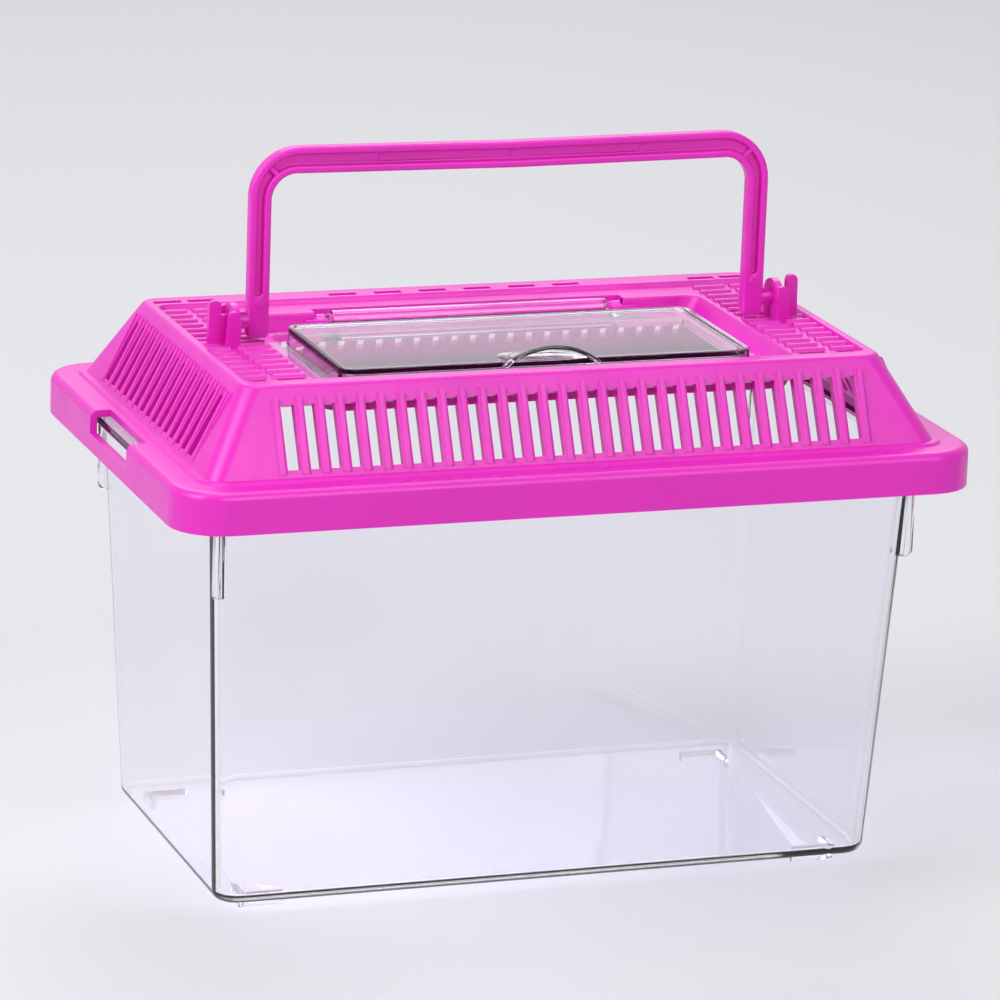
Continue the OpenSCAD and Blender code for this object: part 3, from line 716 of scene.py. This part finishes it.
def lid_openings(bm, s, g, d):
    """The grilles' windows, the louvres, the slits, the hinge notch and the finger notches."""

    def slope(axis, side, beyond):
        """Picks the faces of the roof's slope on one side."""
        return lambda f: (
            s.skirt_top + MM < mid(f).z < s.crest - 0.3 * MM and abs(f.normal.z) < 0.8
            and f.normal[axis] * side > 0.6 and abs(mid(f)[axis]) > beyond)

    def panel(f):
        return abs(mid(f).z - s.panel) < 0.2 * MM and f.normal.z > 0.9

    def crest(f):
        return mid(f).z > s.crest - 0.1 * MM and mid(f).y > BACK_CREST

    def behind(f):
        return mid(f).y > s.well_back - 1.5 * MM and s.well_floor + 0.1 * MM < mid(f).z < s.panel + 0.1 * MM

    def skirt(f):
        return mid(f).z < s.skirt_top + HAIR and abs(mid(f).x) > inner - 5 * MM

    half_x = (g.long_ribs - 1) * g.long_pitch / 2
    half_y = (g.end_ribs - 1) * g.end_pitch / 2
    for side in (-1, 1):
        cut_window(bm, slope(1, side, LONG_SLOPE), (-half_x, None, g.slot_low), (half_x, None, g.slot_high))
        cut_window(bm, slope(0, side, END_SLOPE), (None, -half_y, g.slot_low), (None, half_y, g.slot_high))
    reach = (g.louvre_bars + 1) * g.louvre_pitch / 2 - g.louvre_bar / 2
    for low, high in LOUVRE_WINDOWS:
        cut_window(bm, panel, (low, -reach, None), (high, reach, None))
        cut_window(bm, panel, (-high, -reach, None), (-low, reach, None))
    slit_y = s.top_width / 2 - s.crest_back + g.slit_width
    slits = [(i - (g.slits - 1) / 2) * g.slit_pitch for i in range(g.slits)]
    slits += [side * x for side in (-1, 1) for x in END_SLITS]
    for x in slits:
        cut_window(
            bm, crest, (x - g.slit_length / 2, slit_y - g.slit_width / 2, None),
            (x + g.slit_length / 2, slit_y + g.slit_width / 2, None))
    notch = d.barrel_length / 2 + d.pin_length + d.notch_gap
    cut_window(bm, behind, (-notch, None, None), (notch, d.hinge_y + d.barrel_radius + d.notch_gap, None))
    inner = s.skirt_length / 2 - s.notch_reach
    for side in (-1, 1):
        low, high = sorted((side * inner, side * (s.skirt_length / 2 + MM)))
        cut_window(bm, skirt, (low, -s.notch_length / 2, s.notch_floor), (high, s.notch_length / 2, None))
    bmesh.ops.dissolve_degenerate(bm, dist=0.001 * MM, edges=bm.edges)


class KEEPER_OT_lid_shell(bpy.types.Operator):
    """Models the lid's skirt, sloped roof, sunken panel and door well as one moulded skin"""

    bl_idname = "keeper.lid_shell"
    bl_label = "Lid shell"

    def execute(self, context):
        s = context.scene.keeper_lid
        bm = bmesh.new()
        lid_skin(bm, s)
        lid_openings(bm, s, context.scene.keeper_grille, context.scene.keeper_door)
        dress(walled("lid_shell", bm, s.wall, EDGE, 2), PINK, "lid", ["lid"])
        return {"FINISHED"}


def grille_rib(bm, x, low, high, g):
    """One rib: wide flanks level with the wall, and a narrow nose that stands out of them."""
    nose, half = g.rib_nose / 2, g.rib_width / 2
    back = g.rib_depth - g.rib_proud
    before = set(bm.verts)
    outline = (
        (-half, back), (-half, -g.rib_flank), (-nose, -g.rib_flank), (-nose, -g.rib_proud),
        (nose, -g.rib_proud), (nose, -g.rib_flank), (half, -g.rib_flank), (half, back))
    foot = bm.faces.new([bm.verts.new((x + px, py, low)) for px, py in outline])
    made = bmesh.ops.extrude_face_region(bm, geom=[foot])
    for v in fresh(made):
        # The flanks end a little lower than the nose
        on_nose = abs(v.co.x - x) < nose + HAIR and v.co.y < -g.rib_flank / 2
        v.co.z = high if on_nose else high - 0.9 * MM
    verts = [v for v in bm.verts if v not in before]
    faces = list({f for v in verts for f in v.link_faces})
    bmesh.ops.recalc_face_normals(bm, faces=faces)
    # The nose starts flush with the wall below and is rounded above
    for v in verts:
        if v.co.z < low + HAIR and v.co.y < -g.rib_flank * 1.1:
            v.co.y = -g.rib_flank * 1.2
    edges = {e for v in verts for e in v.link_edges if e.calc_face_angle(0) > 0.6 and e.is_convex}
    soften(bm, list(edges), g.rib_round, 3)
    return [v for v in bm.verts if v not in before]


class KEEPER_OT_grille_ribs(bpy.types.Operator):
    """Models the rounded ribs that stand in the four sloped sides of the roof"""

    bl_idname = "keeper.grille_ribs"
    bl_label = "Grille ribs"

    def execute(self, context):
        s = context.scene.keeper_lid
        g = context.scene.keeper_grille
        bm = bmesh.new()
        long_side = (g.long_ribs, g.long_pitch, s.foot_width, s.top_width)
        end_side = (g.end_ribs, g.end_pitch, s.foot_length, s.top_length)
        # The front, the back and the two ends, in quarter turns about Z
        for quarter, side in ((0, long_side), (2, long_side), (1, end_side), (3, end_side)):
            count, pitch, foot_size, top_size = side
            lean = math.atan((foot_size - top_size) / 2 / (s.crest - s.skirt_top))
            low = (g.slot_low - s.skirt_top - 0.8 * MM) / math.cos(lean)
            high = (g.slot_high - s.skirt_top + 1.5 * MM) / math.cos(lean)
            wall = (
                Matrix.Rotation(quarter * math.pi / 2, 4, "Z")
                @ Matrix.Translation((0, -foot_size / 2, s.skirt_top)) @ Matrix.Rotation(-lean, 4, "X"))
            for i in range(count):
                x = (i - (count - 1) / 2) * pitch
                if i in (0, count - 1):
                    x += math.copysign(g.rib_shift, x)
                bmesh.ops.transform(bm, matrix=wall, verts=grille_rib(bm, x, low, high, g))
        dress(raw_object("lid_grille_ribs", bm), PINK, "lid")
        return {"FINISHED"}


class KEEPER_OT_louvre_bars(bpy.types.Operator):
    """Models the round bars of the louvres beside the door"""

    bl_idname = "keeper.louvre_bars"
    bl_label = "Louvre bars"

    def execute(self, context):
        g = context.scene.keeper_grille
        bm = bmesh.new()
        z = context.scene.keeper_lid.panel + g.louvre_proud - g.louvre_bar / 2
        for i in range(g.louvre_bars):
            y = (i - (g.louvre_bars - 1) / 2) * g.louvre_pitch
            for low, high in LOUVRE_BARS:
                rod(bm, (low, y, z), (high, y, z), g.louvre_bar / 2, 16, EDGE)
        mirrored_ends(bm)
        dress(raw_object("lid_louvre_bars", bm), PINK, "lid")
        return {"FINISHED"}


class KEEPER_OT_hinge_pocket(bpy.types.Operator):
    """Models the pocket behind the well that holds the door's hinge barrel"""

    bl_idname = "keeper.hinge_pocket"
    bl_label = "Hinge pocket"

    def execute(self, context):
        s = context.scene.keeper_lid
        d = context.scene.keeper_door
        bm = bmesh.new()
        notch = d.barrel_length / 2 + 1.2 * MM
        cheek = notch + d.pin_length + s.wall
        # The back wall stands a little forward of the notch, so the two share no plane
        back = d.hinge_y + d.barrel_radius + d.notch_gap - 0.1 * MM
        rear = back + s.wall
        front = s.well_back - 1.0 * MM
        low = s.well_floor - s.wall
        cheek_top = d.hinge_z + 0.2 * MM
        for box in (
            # The two cheeks that hold the pins half open from above, the back wall and the floor
            ((notch, front, low), (cheek, rear, cheek_top)),
            ((-cheek, front, low), (-notch, rear, cheek_top)),
            ((-cheek + MM, back, low), (cheek - MM, rear, s.panel - 0.05 * MM)),
            ((-notch - MM, front, low), (notch + MM, back + MM, s.well_floor)),
        ):
            rounded_box(bm, *box, FINE_EDGE, 2)
        dress(raw_object("lid_hinge_pocket", bm), PINK, "lid")
        return {"FINISHED"}


def ear_plate(bm, ends, half, low, pivot):
    """A plate across X with a half-round top."""
    before = set(bm.verts)
    rod(bm, (ends[0], 0, pivot), (ends[1], 0, pivot), half, 48)
    below = [v for v in bm.verts if v not in before and v.co.z < pivot - HAIR]
    for v in below:
        v.co.y = math.copysign(half, v.co.y) if abs(v.co.y) > half * 0.6 else v.co.y / 0.6
        v.co.z = low


def ear_blade(bm, ends, y, thickness, low, top, share, taper):
    """An upright blade across Y with rounded top corners that narrows towards its top."""
    inner, outer = ends
    place = Matrix.Translation(((inner + outer) / 2, y, (low + top) / 2))
    made = bmesh.ops.create_cube(
        bm, size=1.0, matrix=place @ Matrix.Diagonal((outer - inner, thickness, top - low, 1)))
    upper = {
        e for v in made["verts"] for e in v.link_edges
        if all(w.co.z > top - HAIR for w in e.verts) and abs(e.verts[0].co.x - e.verts[1].co.x) < HAIR
    }
    for v in made["verts"]:
        if v.co.z > top - HAIR and v.co.x > (inner + outer) / 2:
            v.co.x -= taper
    soften(bm, list(upper), (outer - inner - taper) * share, 6)


def flip(piece):
    """Moves a closed piece to the left-hand side."""
    bm = bmesh.new()
    bm.from_mesh(piece.data)
    bmesh.ops.scale(bm, vec=(-1, 1, 1), verts=bm.verts)
    bmesh.ops.reverse_faces(bm, faces=bm.faces)
    bm.to_mesh(piece.data)
    bm.free()


def ear(side, s, h):
    """One ear: its web, two flanges, the middle rib with its finger, and a foot in the panel."""
    low = s.panel - 0.5 * MM
    bm = bmesh.new()
    # The web, rounded over the pivot
    ear_plate(bm, (h.ear_x, h.ear_x + h.ear_web), h.ear_width / 2, low, h.pivot - h.ear_drop)
    web = raw_object("ear", bm)
    flange_y = (h.ear_width - h.ear_flange) / 2
    flange_ends = (h.ear_x + 0.2 * MM, h.ear_x + h.ear_reach)
    rib_end = h.ear_x + h.ear_rib
    parts = []
    # Each blade's ends, place, height over the pivot, rounding and taper
    for ends, y, rise, share, taper in (
        (flange_ends, -flange_y, h.ear_rise, 0.4, h.ear_taper),
        (flange_ends, flange_y, h.ear_rise, 0.4, h.ear_taper),
        ((h.ear_x + LAP, rib_end - h.finger / 2), 0, h.rib_rise, 0.1, 0),
        ((rib_end - h.finger, rib_end), 0.02 * MM, h.finger_rise, 0.47, 0.2 * MM),
    ):
        blade = bmesh.new()
        ear_blade(blade, ends, y, h.ear_flange, low, h.pivot + rise, share, taper)
        parts.append(raw_object("blade", blade))
    margin = 0.4 * MM
    parts.append(box_piece(
        "foot", (h.ear_x - margin, -h.ear_width / 2 - margin, s.panel - s.wall),
        (EAR_FOOT_END, h.ear_width / 2 + margin, s.panel + 0.1 * MM), EDGE, 2))
    if side < 0:
        for part in [web] + parts:
            flip(part)
    fuse(web, parts)
    round_edges(web, SMALL_EDGE, 2, 40)
    return web


class KEEPER_OT_ears(bpy.types.Operator):
    """Models the two ears that hold the handle"""

    bl_idname = "keeper.ears"
    bl_label = "Ears"

    def execute(self, context):
        pair = [ear(side, context.scene.keeper_lid, context.scene.keeper_handle) for side in (-1, 1)]
        for piece, name in zip(pair, ("lid_ear_left", "lid_ear_right")):
            piece.name = name
            dress(piece, PINK, "lid")
        return {"FINISHED"}


# ---- feeding door ----


def door_sheet(d):
    """The flange and the raised panel with its bead."""
    bm = bmesh.new()
    raised_y = (d.raised_front + d.raised_back) / 2
    raised_depth = d.raised_back - d.raised_front
    flange = d.raised_top - d.flange_drop
    bead_top = d.raised_top + d.bead_height
    draft = 0.4 * MM
    corner = d.door_corner
    rings = ring_stack(
        bm,
        (d.length, d.back - d.front, corner, flange, (d.front + d.back) / 2),
        (d.raised_length + draft, raised_depth + draft, corner, flange, raised_y),
        (d.raised_length, raised_depth, corner, bead_top, raised_y),
        (d.raised_length - 2 * d.bead, raised_depth - 2 * d.bead, corner / 2, bead_top, raised_y),
        (d.raised_length - 2.4 * d.bead, raised_depth - 2.4 * d.bead, corner / 2, d.raised_top, raised_y))
    cap(bm, rings[4])
    face_outwards(bm)
    door = walled("door_panel", bm, d.sheet, WALL_EDGE, 3)
    settle(door)
    return door


def door_grip(d):
    """An arch at the front that runs back to a straight edge on the panel."""
    bm = bmesh.new()
    radius = ((d.grip_width / 2) ** 2 + d.grip_height ** 2) / (2 * d.grip_height)
    front = d.raised_front - d.grip_overhang
    place = Matrix.Translation((0, front, d.raised_top + d.grip_height - radius))
    bmesh.ops.create_circle(
        bm, cap_ends=False, segments=120, radius=radius, matrix=place @ Matrix.Rotation(math.pi / 2, 4, "X"))
    bmesh.ops.bisect_plane(
        bm, geom=list(bm.verts) + list(bm.edges), dist=1e-7, plane_co=(0, 0, d.raised_top - 0.2 * MM),
        plane_no=(0, 0, 1), clear_inner=True)
    made = bmesh.ops.extrude_edge_only(bm, edges=list(bm.edges))
    back = fresh(made)
    bmesh.ops.translate(bm, vec=(0, d.grip_depth, 0), verts=back)
    bmesh.ops.scale(
        bm, vec=(1, 1, 0.02), verts=back, space=Matrix.Translation((0, 0, -d.raised_top + 0.3 * MM)))
    rows = [e for e in bm.edges if abs(e.verts[0].co.y - e.verts[1].co.y) > MM]
    bmesh.ops.subdivide_edges(bm, edges=rows, cuts=3, use_grid_fill=True)
    bmesh.ops.recalc_face_normals(bm, faces=bm.faces)
    crown = max(bm.faces, key=lambda f: mid(f).z)
    if crown.normal.z < 0:
        bmesh.ops.reverse_faces(bm, faces=bm.faces)
    grip = walled("grip", bm, d.grip_sheet, SMALL_EDGE, 2)
    settle(grip)
    return grip


def door_parts(d):
    """The catch under the front edge, the strip that leads to the hinge, its barrel and the two pins."""
    half = d.barrel_length / 2
    end = half + d.pin_length
    low = d.raised_top - d.flange_drop - d.sheet
    catch_front = d.front + 0.3 * MM
    catch = box_piece(
        "catch", (-d.catch_length / 2, catch_front, low - d.catch_drop),
        (d.catch_length / 2, catch_front + d.sheet, low + 0.5 * MM), SMALL_EDGE, 2)
    arm = box_piece("arm", (-half, d.back - 1.5 * MM, low), (half, d.hinge_y, d.hinge_z), SMALL_EDGE, 2)
    barrel = rod_piece(
        "barrel", (-half, d.hinge_y, d.hinge_z), (half, d.hinge_y, d.hinge_z), d.barrel_radius, 32, EDGE)
    fuse(barrel, [rod_piece(
        "pins", (-end, d.hinge_y, d.hinge_z), (end, d.hinge_y, d.hinge_z), d.pin_radius, 24, FINE_EDGE)])
    return [catch, arm, barrel]


class KEEPER_OT_feeding_door(bpy.types.Operator):
    """Models the clear feeding door with its finger grip, catch and hinge barrel"""

    bl_idname = "keeper.feeding_door"
    bl_label = "Feeding door"

    def execute(self, context):
        d = context.scene.keeper_door
        door = door_sheet(d)
        fuse(door, [door_grip(d)] + door_parts(d))
        dress(door, CLEAR, "feeding_door", ["feeding_door"])
        return {"FINISHED"}


# ---- handle ----


def extrude(bm, faces, step, closed=False):
    """Extrudes a group of faces as one and returns the moved faces; closed leaves a cap behind."""
    made = bmesh.ops.extrude_face_region(bm, geom=faces)
    bmesh.ops.translate(bm, vec=step, verts=fresh(made))
    if not closed:
        bmesh.ops.delete(bm, geom=[f for f in faces if f.is_valid], context="FACES_ONLY")
    return fresh(made, bmesh.types.BMFace)


def deepen_bar(bm, h, turn_z):
    """Lets the leg's narrower section grow into the bar's, round the corner and along the bar."""
    centre = h.length / 2 - h.corner
    for v in bm.verts:
        if v.co.z <= turn_z:
            continue
        share = 1.0 if v.co.x <= centre else math.atan2(v.co.z - turn_z, v.co.x - centre) / (math.pi / 2)
        away = Vector((max(v.co.x - centre, 0), 0, v.co.z - turn_z))
        inward = (h.corner - away.length) / h.leg
        v.co -= away.normalized() * (h.bar - h.leg) * share * (1 if inward > 0.5 else 0)


def handle_half(bm, h):
    """The right-hand half: a leg, a turned corner and half of the bar."""
    outer = h.length / 2
    inner = outer - h.leg
    front = -h.thickness / 2
    middle = (inner + outer) / 2
    place = Matrix.Translation((middle, 0, h.leg_foot)) @ Matrix.Diagonal((h.leg / 2, h.thickness / 2, 1, 1))
    bmesh.ops.create_grid(bm, x_segments=3, y_segments=2, size=1.0, matrix=place)
    for v in bm.verts:
        if inner + 0.1 * MM < v.co.x < outer - 0.1 * MM:
            v.co.x = inner + h.border if v.co.x < middle else outer - h.border
        if abs(v.co.y) < 0.1 * MM:
            v.co.y = front + h.groove
    section = extrude(bm, list(bm.faces), (0, 0, h.groove_foot - h.leg_foot), closed=True)
    channel = [f for f in section if abs(mid(f).x - middle) < 0.3 * MM and mid(f).y < front + h.groove]
    section = [f for f in section if f not in channel]
    turn_z = h.top - h.corner
    section = extrude(bm, section, (0, 0, turn_z - h.groove_foot))
    edges = list({e for f in section for e in f.edges})
    around = list(section) + edges + list({v for f in section for v in f.verts})
    spun = bmesh.ops.spin(
        bm, geom=around, cent=(outer - h.corner, 0, turn_z), axis=(0, -1, 0), dvec=(0, 0, 0),
        angle=math.pi / 2, steps=10, use_merge=False, use_duplicate=False)
    section = [f for f in spun["geom_last"] if isinstance(f, bmesh.types.BMFace)]
    section = extrude(bm, section, (-(outer - h.corner), 0, 0))
    deepen_bar(bm, h, turn_z)
    bmesh.ops.delete(bm, geom=section, context="FACES_ONLY")
    bmesh.ops.delete(bm, geom=[e for e in bm.edges if not e.link_faces], context="EDGES")
    ends = [
        e for e in bm.edges
        if all(v.co.z < h.leg_foot + HAIR for v in e.verts)
        and abs(e.verts[0].co.x - e.verts[1].co.x) < HAIR
        and min(abs(e.verts[0].co.x - inner), abs(e.verts[0].co.x - outer)) < HAIR
    ]
    foot_round = 1.0 * MM
    soften(bm, ends, foot_round, 4)


def handle_parts(h):
    """The webs in the corners of the groove, the marks, the boss on each leg and the pivot pins."""
    outer = h.length / 2
    front = -h.thickness / 2
    bottom = front + h.groove + 0.2 * MM
    web_half, boss_drop, boss_radius, mark_radius = 1.6 * MM, 1.6 * MM, 1.0 * MM, 0.8 * MM
    middle = (h.corner - (h.leg + h.bar) / 4) * math.sqrt(0.5)
    parts = []
    for side in (-1, 1):
        turn = Matrix.Rotation(-side * math.pi / 4, 4, "Y")
        corner = (side * (outer - h.corner) + side * middle, 0, h.top - h.corner + middle)
        parts.append(box_piece(
            "web", (-web_half, front + 0.25 * MM, -0.5 * MM), (web_half, bottom, 0.5 * MM), BOSS_EDGE, 2,
            place=Matrix.Translation(corner) @ turn))
        leg_x = side * (outer - h.leg / 2)
        boss_z = h.groove_foot - boss_drop
        parts.append(rod_piece(
            "boss", (leg_x, front + 0.4 * MM, boss_z), (leg_x, front - 0.3 * MM, boss_z), boss_radius,
            24, BOSS_EDGE))
        parts.append(rod_piece(
            "pin", (side * (outer - LAP), 0, h.pivot), (side * (h.ear_x + h.ear_web), 0, h.pivot),
            h.pin_radius, 32, FINE_EDGE))
    z = h.top - h.bar / 2
    for x in MARKS:
        parts.append(rod_piece(
            "mark", (x, bottom, z), (x, front + h.groove - 0.25 * MM, z), mark_radius, 20, MARK_EDGE))
    return parts


class KEEPER_OT_handle(bpy.types.Operator):
    """Models the grooved handle with its pivot pins"""

    bl_idname = "keeper.handle"
    bl_label = "Handle"

    def execute(self, context):
        h = context.scene.keeper_handle
        bm = bmesh.new()
        handle_half(bm, h)
        mirrored_ends(bm)
        bmesh.ops.remove_doubles(bm, verts=bm.verts, dist=HAIR)
        bmesh.ops.recalc_face_normals(bm, faces=bm.faces)
        handle = raw_object("handle_bail", bm)
        round_edges(handle, HANDLE_EDGE, 3, 40)
        settle(handle)
        fuse(handle, handle_parts(h))
        # The bar sags a little towards its middle
        reach = h.length / 2 - h.corner
        for v in handle.data.vertices:
            if v.co.z > h.top - 2 * h.bar and abs(v.co.x) < reach:
                v.co.z -= h.bow * (1 - (v.co.x / reach) ** 2)
        dress(handle, PINK, "handle", ["handle"])
        return {"FINISHED"}


# ---- studio ----


def studio_floor():
    """A wide sheet of pale paper under the object."""
    bm = bmesh.new()
    bmesh.ops.create_grid(bm, x_segments=1, y_segments=1, size=6.0)
    floor = raw_object("studio_floor", bm)
    floor.data.materials.append(studio_paper())


def studio_world(scene):
    """An even pale surround."""
    world = bpy.data.worlds.new("Studio surround")
    world.use_nodes = True
    tree = world.node_tree
    tree.nodes.clear()
    rays = node(tree, "ShaderNodeLightPath")
    seen = rays.outputs["Is Camera Ray"]
    for kind in ("Is Glossy Ray", "Is Transmission Ray"):
        either = node(tree, "ShaderNodeMath", {"operation": "MAXIMUM"})
        tree.links.new(seen, either.inputs[0])
        tree.links.new(rays.outputs[kind], either.inputs[1])
        seen = either.outputs[0]
    light = node(tree, "ShaderNodeBackground", {"Color": linear("#DADCE2"), "Strength": 0.42})
    backdrop = node(tree, "ShaderNodeBackground", {"Color": scene.keeper_colours.surround, "Strength": 1.0})
    both = mixed(tree, seen, light.outputs["Background"], backdrop.outputs["Background"])
    node(tree, "ShaderNodeOutputWorld", {}, Surface=both)
    scene.world = world


def studio_lamps():
    """A large key lamp from the left, weaker ones at the front and above, and a rim lamp behind."""
    for name, place, size, power in (
        ("key_left", (-1.1, -0.30, 0.95), 0.8, 12.5),
        ("fill_front", (0.3, -1.5, 0.9), 1.0, 10.2),
        ("rim_back", (0.35, 1.1, 1.1), 0.9, 7.0),
        ("top_soft", (0.0, 0.1, 1.4), 0.9, 4.5),
    ):
        data = bpy.data.lights.new(name, "AREA")
        data.shape = "SQUARE"
        data.size = size
        data.energy = power
        lamp = bpy.data.objects.new(name, data)
        lamp.location = place
        lamp.rotation_euler = (LAMPS_AIM - Vector(place)).to_track_quat("-Z", "Y").to_euler()
        bpy.context.scene.collection.objects.link(lamp)


def studio_camera(scene):
    """A long lens from the front left, slightly above, with the photograph's small tilt."""
    data = bpy.data.cameras.new("studio_camera")
    data.sensor_width = 36.0
    data.lens = 200.812
    data.clip_start = 0.05
    data.clip_end = 30.0
    camera = bpy.data.objects.new("studio_camera", data)
    right = Vector((0.94345076, -0.32962014, 0.03537281))
    up = Vector((0.05536634, 0.26186992, 0.96351373))
    ahead = Vector((0.3268566, 0.9070693, -0.26531124))
    turn = Matrix((right, up, -ahead)).transposed()
    camera.matrix_world = Matrix.Translation((-0.40262845, -1.11708696, 0.40407433)) @ turn.to_4x4()
    scene.collection.objects.link(camera)
    scene.camera = camera


class KEEPER_OT_studio(bpy.types.Operator):
    """Sets up the pale floor, the soft lamps and the camera"""

    bl_idname = "keeper.studio"
    bl_label = "Studio"

    def execute(self, context):
        studio_floor()
        studio_world(context.scene)
        studio_lamps()
        studio_camera(context.scene)
        context.scene.view_settings.view_transform = "Standard"
        return {"FINISHED"}


# ---- panel and registration ----


class KEEPER_PT_panel(bpy.types.Panel):
    """Lists the pieces of the pet keeper"""

    bl_idname = "KEEPER_PT_panel"
    bl_label = "Pet keeper"
    bl_space_type = "VIEW_3D"
    bl_region_type = "UI"
    bl_category = "Pet keeper"

    def draw(self, context):
        column = self.layout.column()
        for operator in OPERATORS:
            column.operator(operator.bl_idname, text=operator.bl_label)
        for group in GROUPS:
            settings = getattr(context.scene, group)
            column.label(text=group.replace("_", " "))
            for name in settings.bl_rna.properties.keys():
                if name not in {"rna_type", "name"}:
                    column.prop(settings, name)


OPERATORS = (
    KEEPER_OT_tank,
    KEEPER_OT_lid_shell,
    KEEPER_OT_grille_ribs,
    KEEPER_OT_louvre_bars,
    KEEPER_OT_hinge_pocket,
    KEEPER_OT_ears,
    KEEPER_OT_feeding_door,
    KEEPER_OT_handle,
    KEEPER_OT_studio,
)
GROUPS = {
    "keeper_tank": TankSizes,
    "keeper_lid": LidSizes,
    "keeper_grille": GrilleSizes,
    "keeper_door": DoorSizes,
    "keeper_handle": HandleSizes,
    "keeper_colours": KeeperColours,
}


def register():
    """Registers the property groups, the operators and the panel."""
    for name, group in GROUPS.items():
        bpy.utils.register_class(group)
        setattr(bpy.types.Scene, name, PointerProperty(type=group))
    for operator in OPERATORS:
        bpy.utils.register_class(operator)
    bpy.utils.register_class(KEEPER_PT_panel)


def unregister():
    """Takes away what register added."""
    bpy.utils.unregister_class(KEEPER_PT_panel)
    for operator in reversed(OPERATORS):
        bpy.utils.unregister_class(operator)
    for name, group in GROUPS.items():
        delattr(bpy.types.Scene, name)
        bpy.utils.unregister_class(group)


def main():
    """Builds every piece in order."""
    register()
    bpy.ops.keeper.tank()
    bpy.ops.keeper.lid_shell()
    bpy.ops.keeper.grille_ribs()
    bpy.ops.keeper.louvre_bars()
    bpy.ops.keeper.hinge_pocket()
    bpy.ops.keeper.ears()
    bpy.ops.keeper.feeding_door()
    bpy.ops.keeper.handle()
    bpy.ops.keeper.studio()


if __name__ == "__main__":
    main()
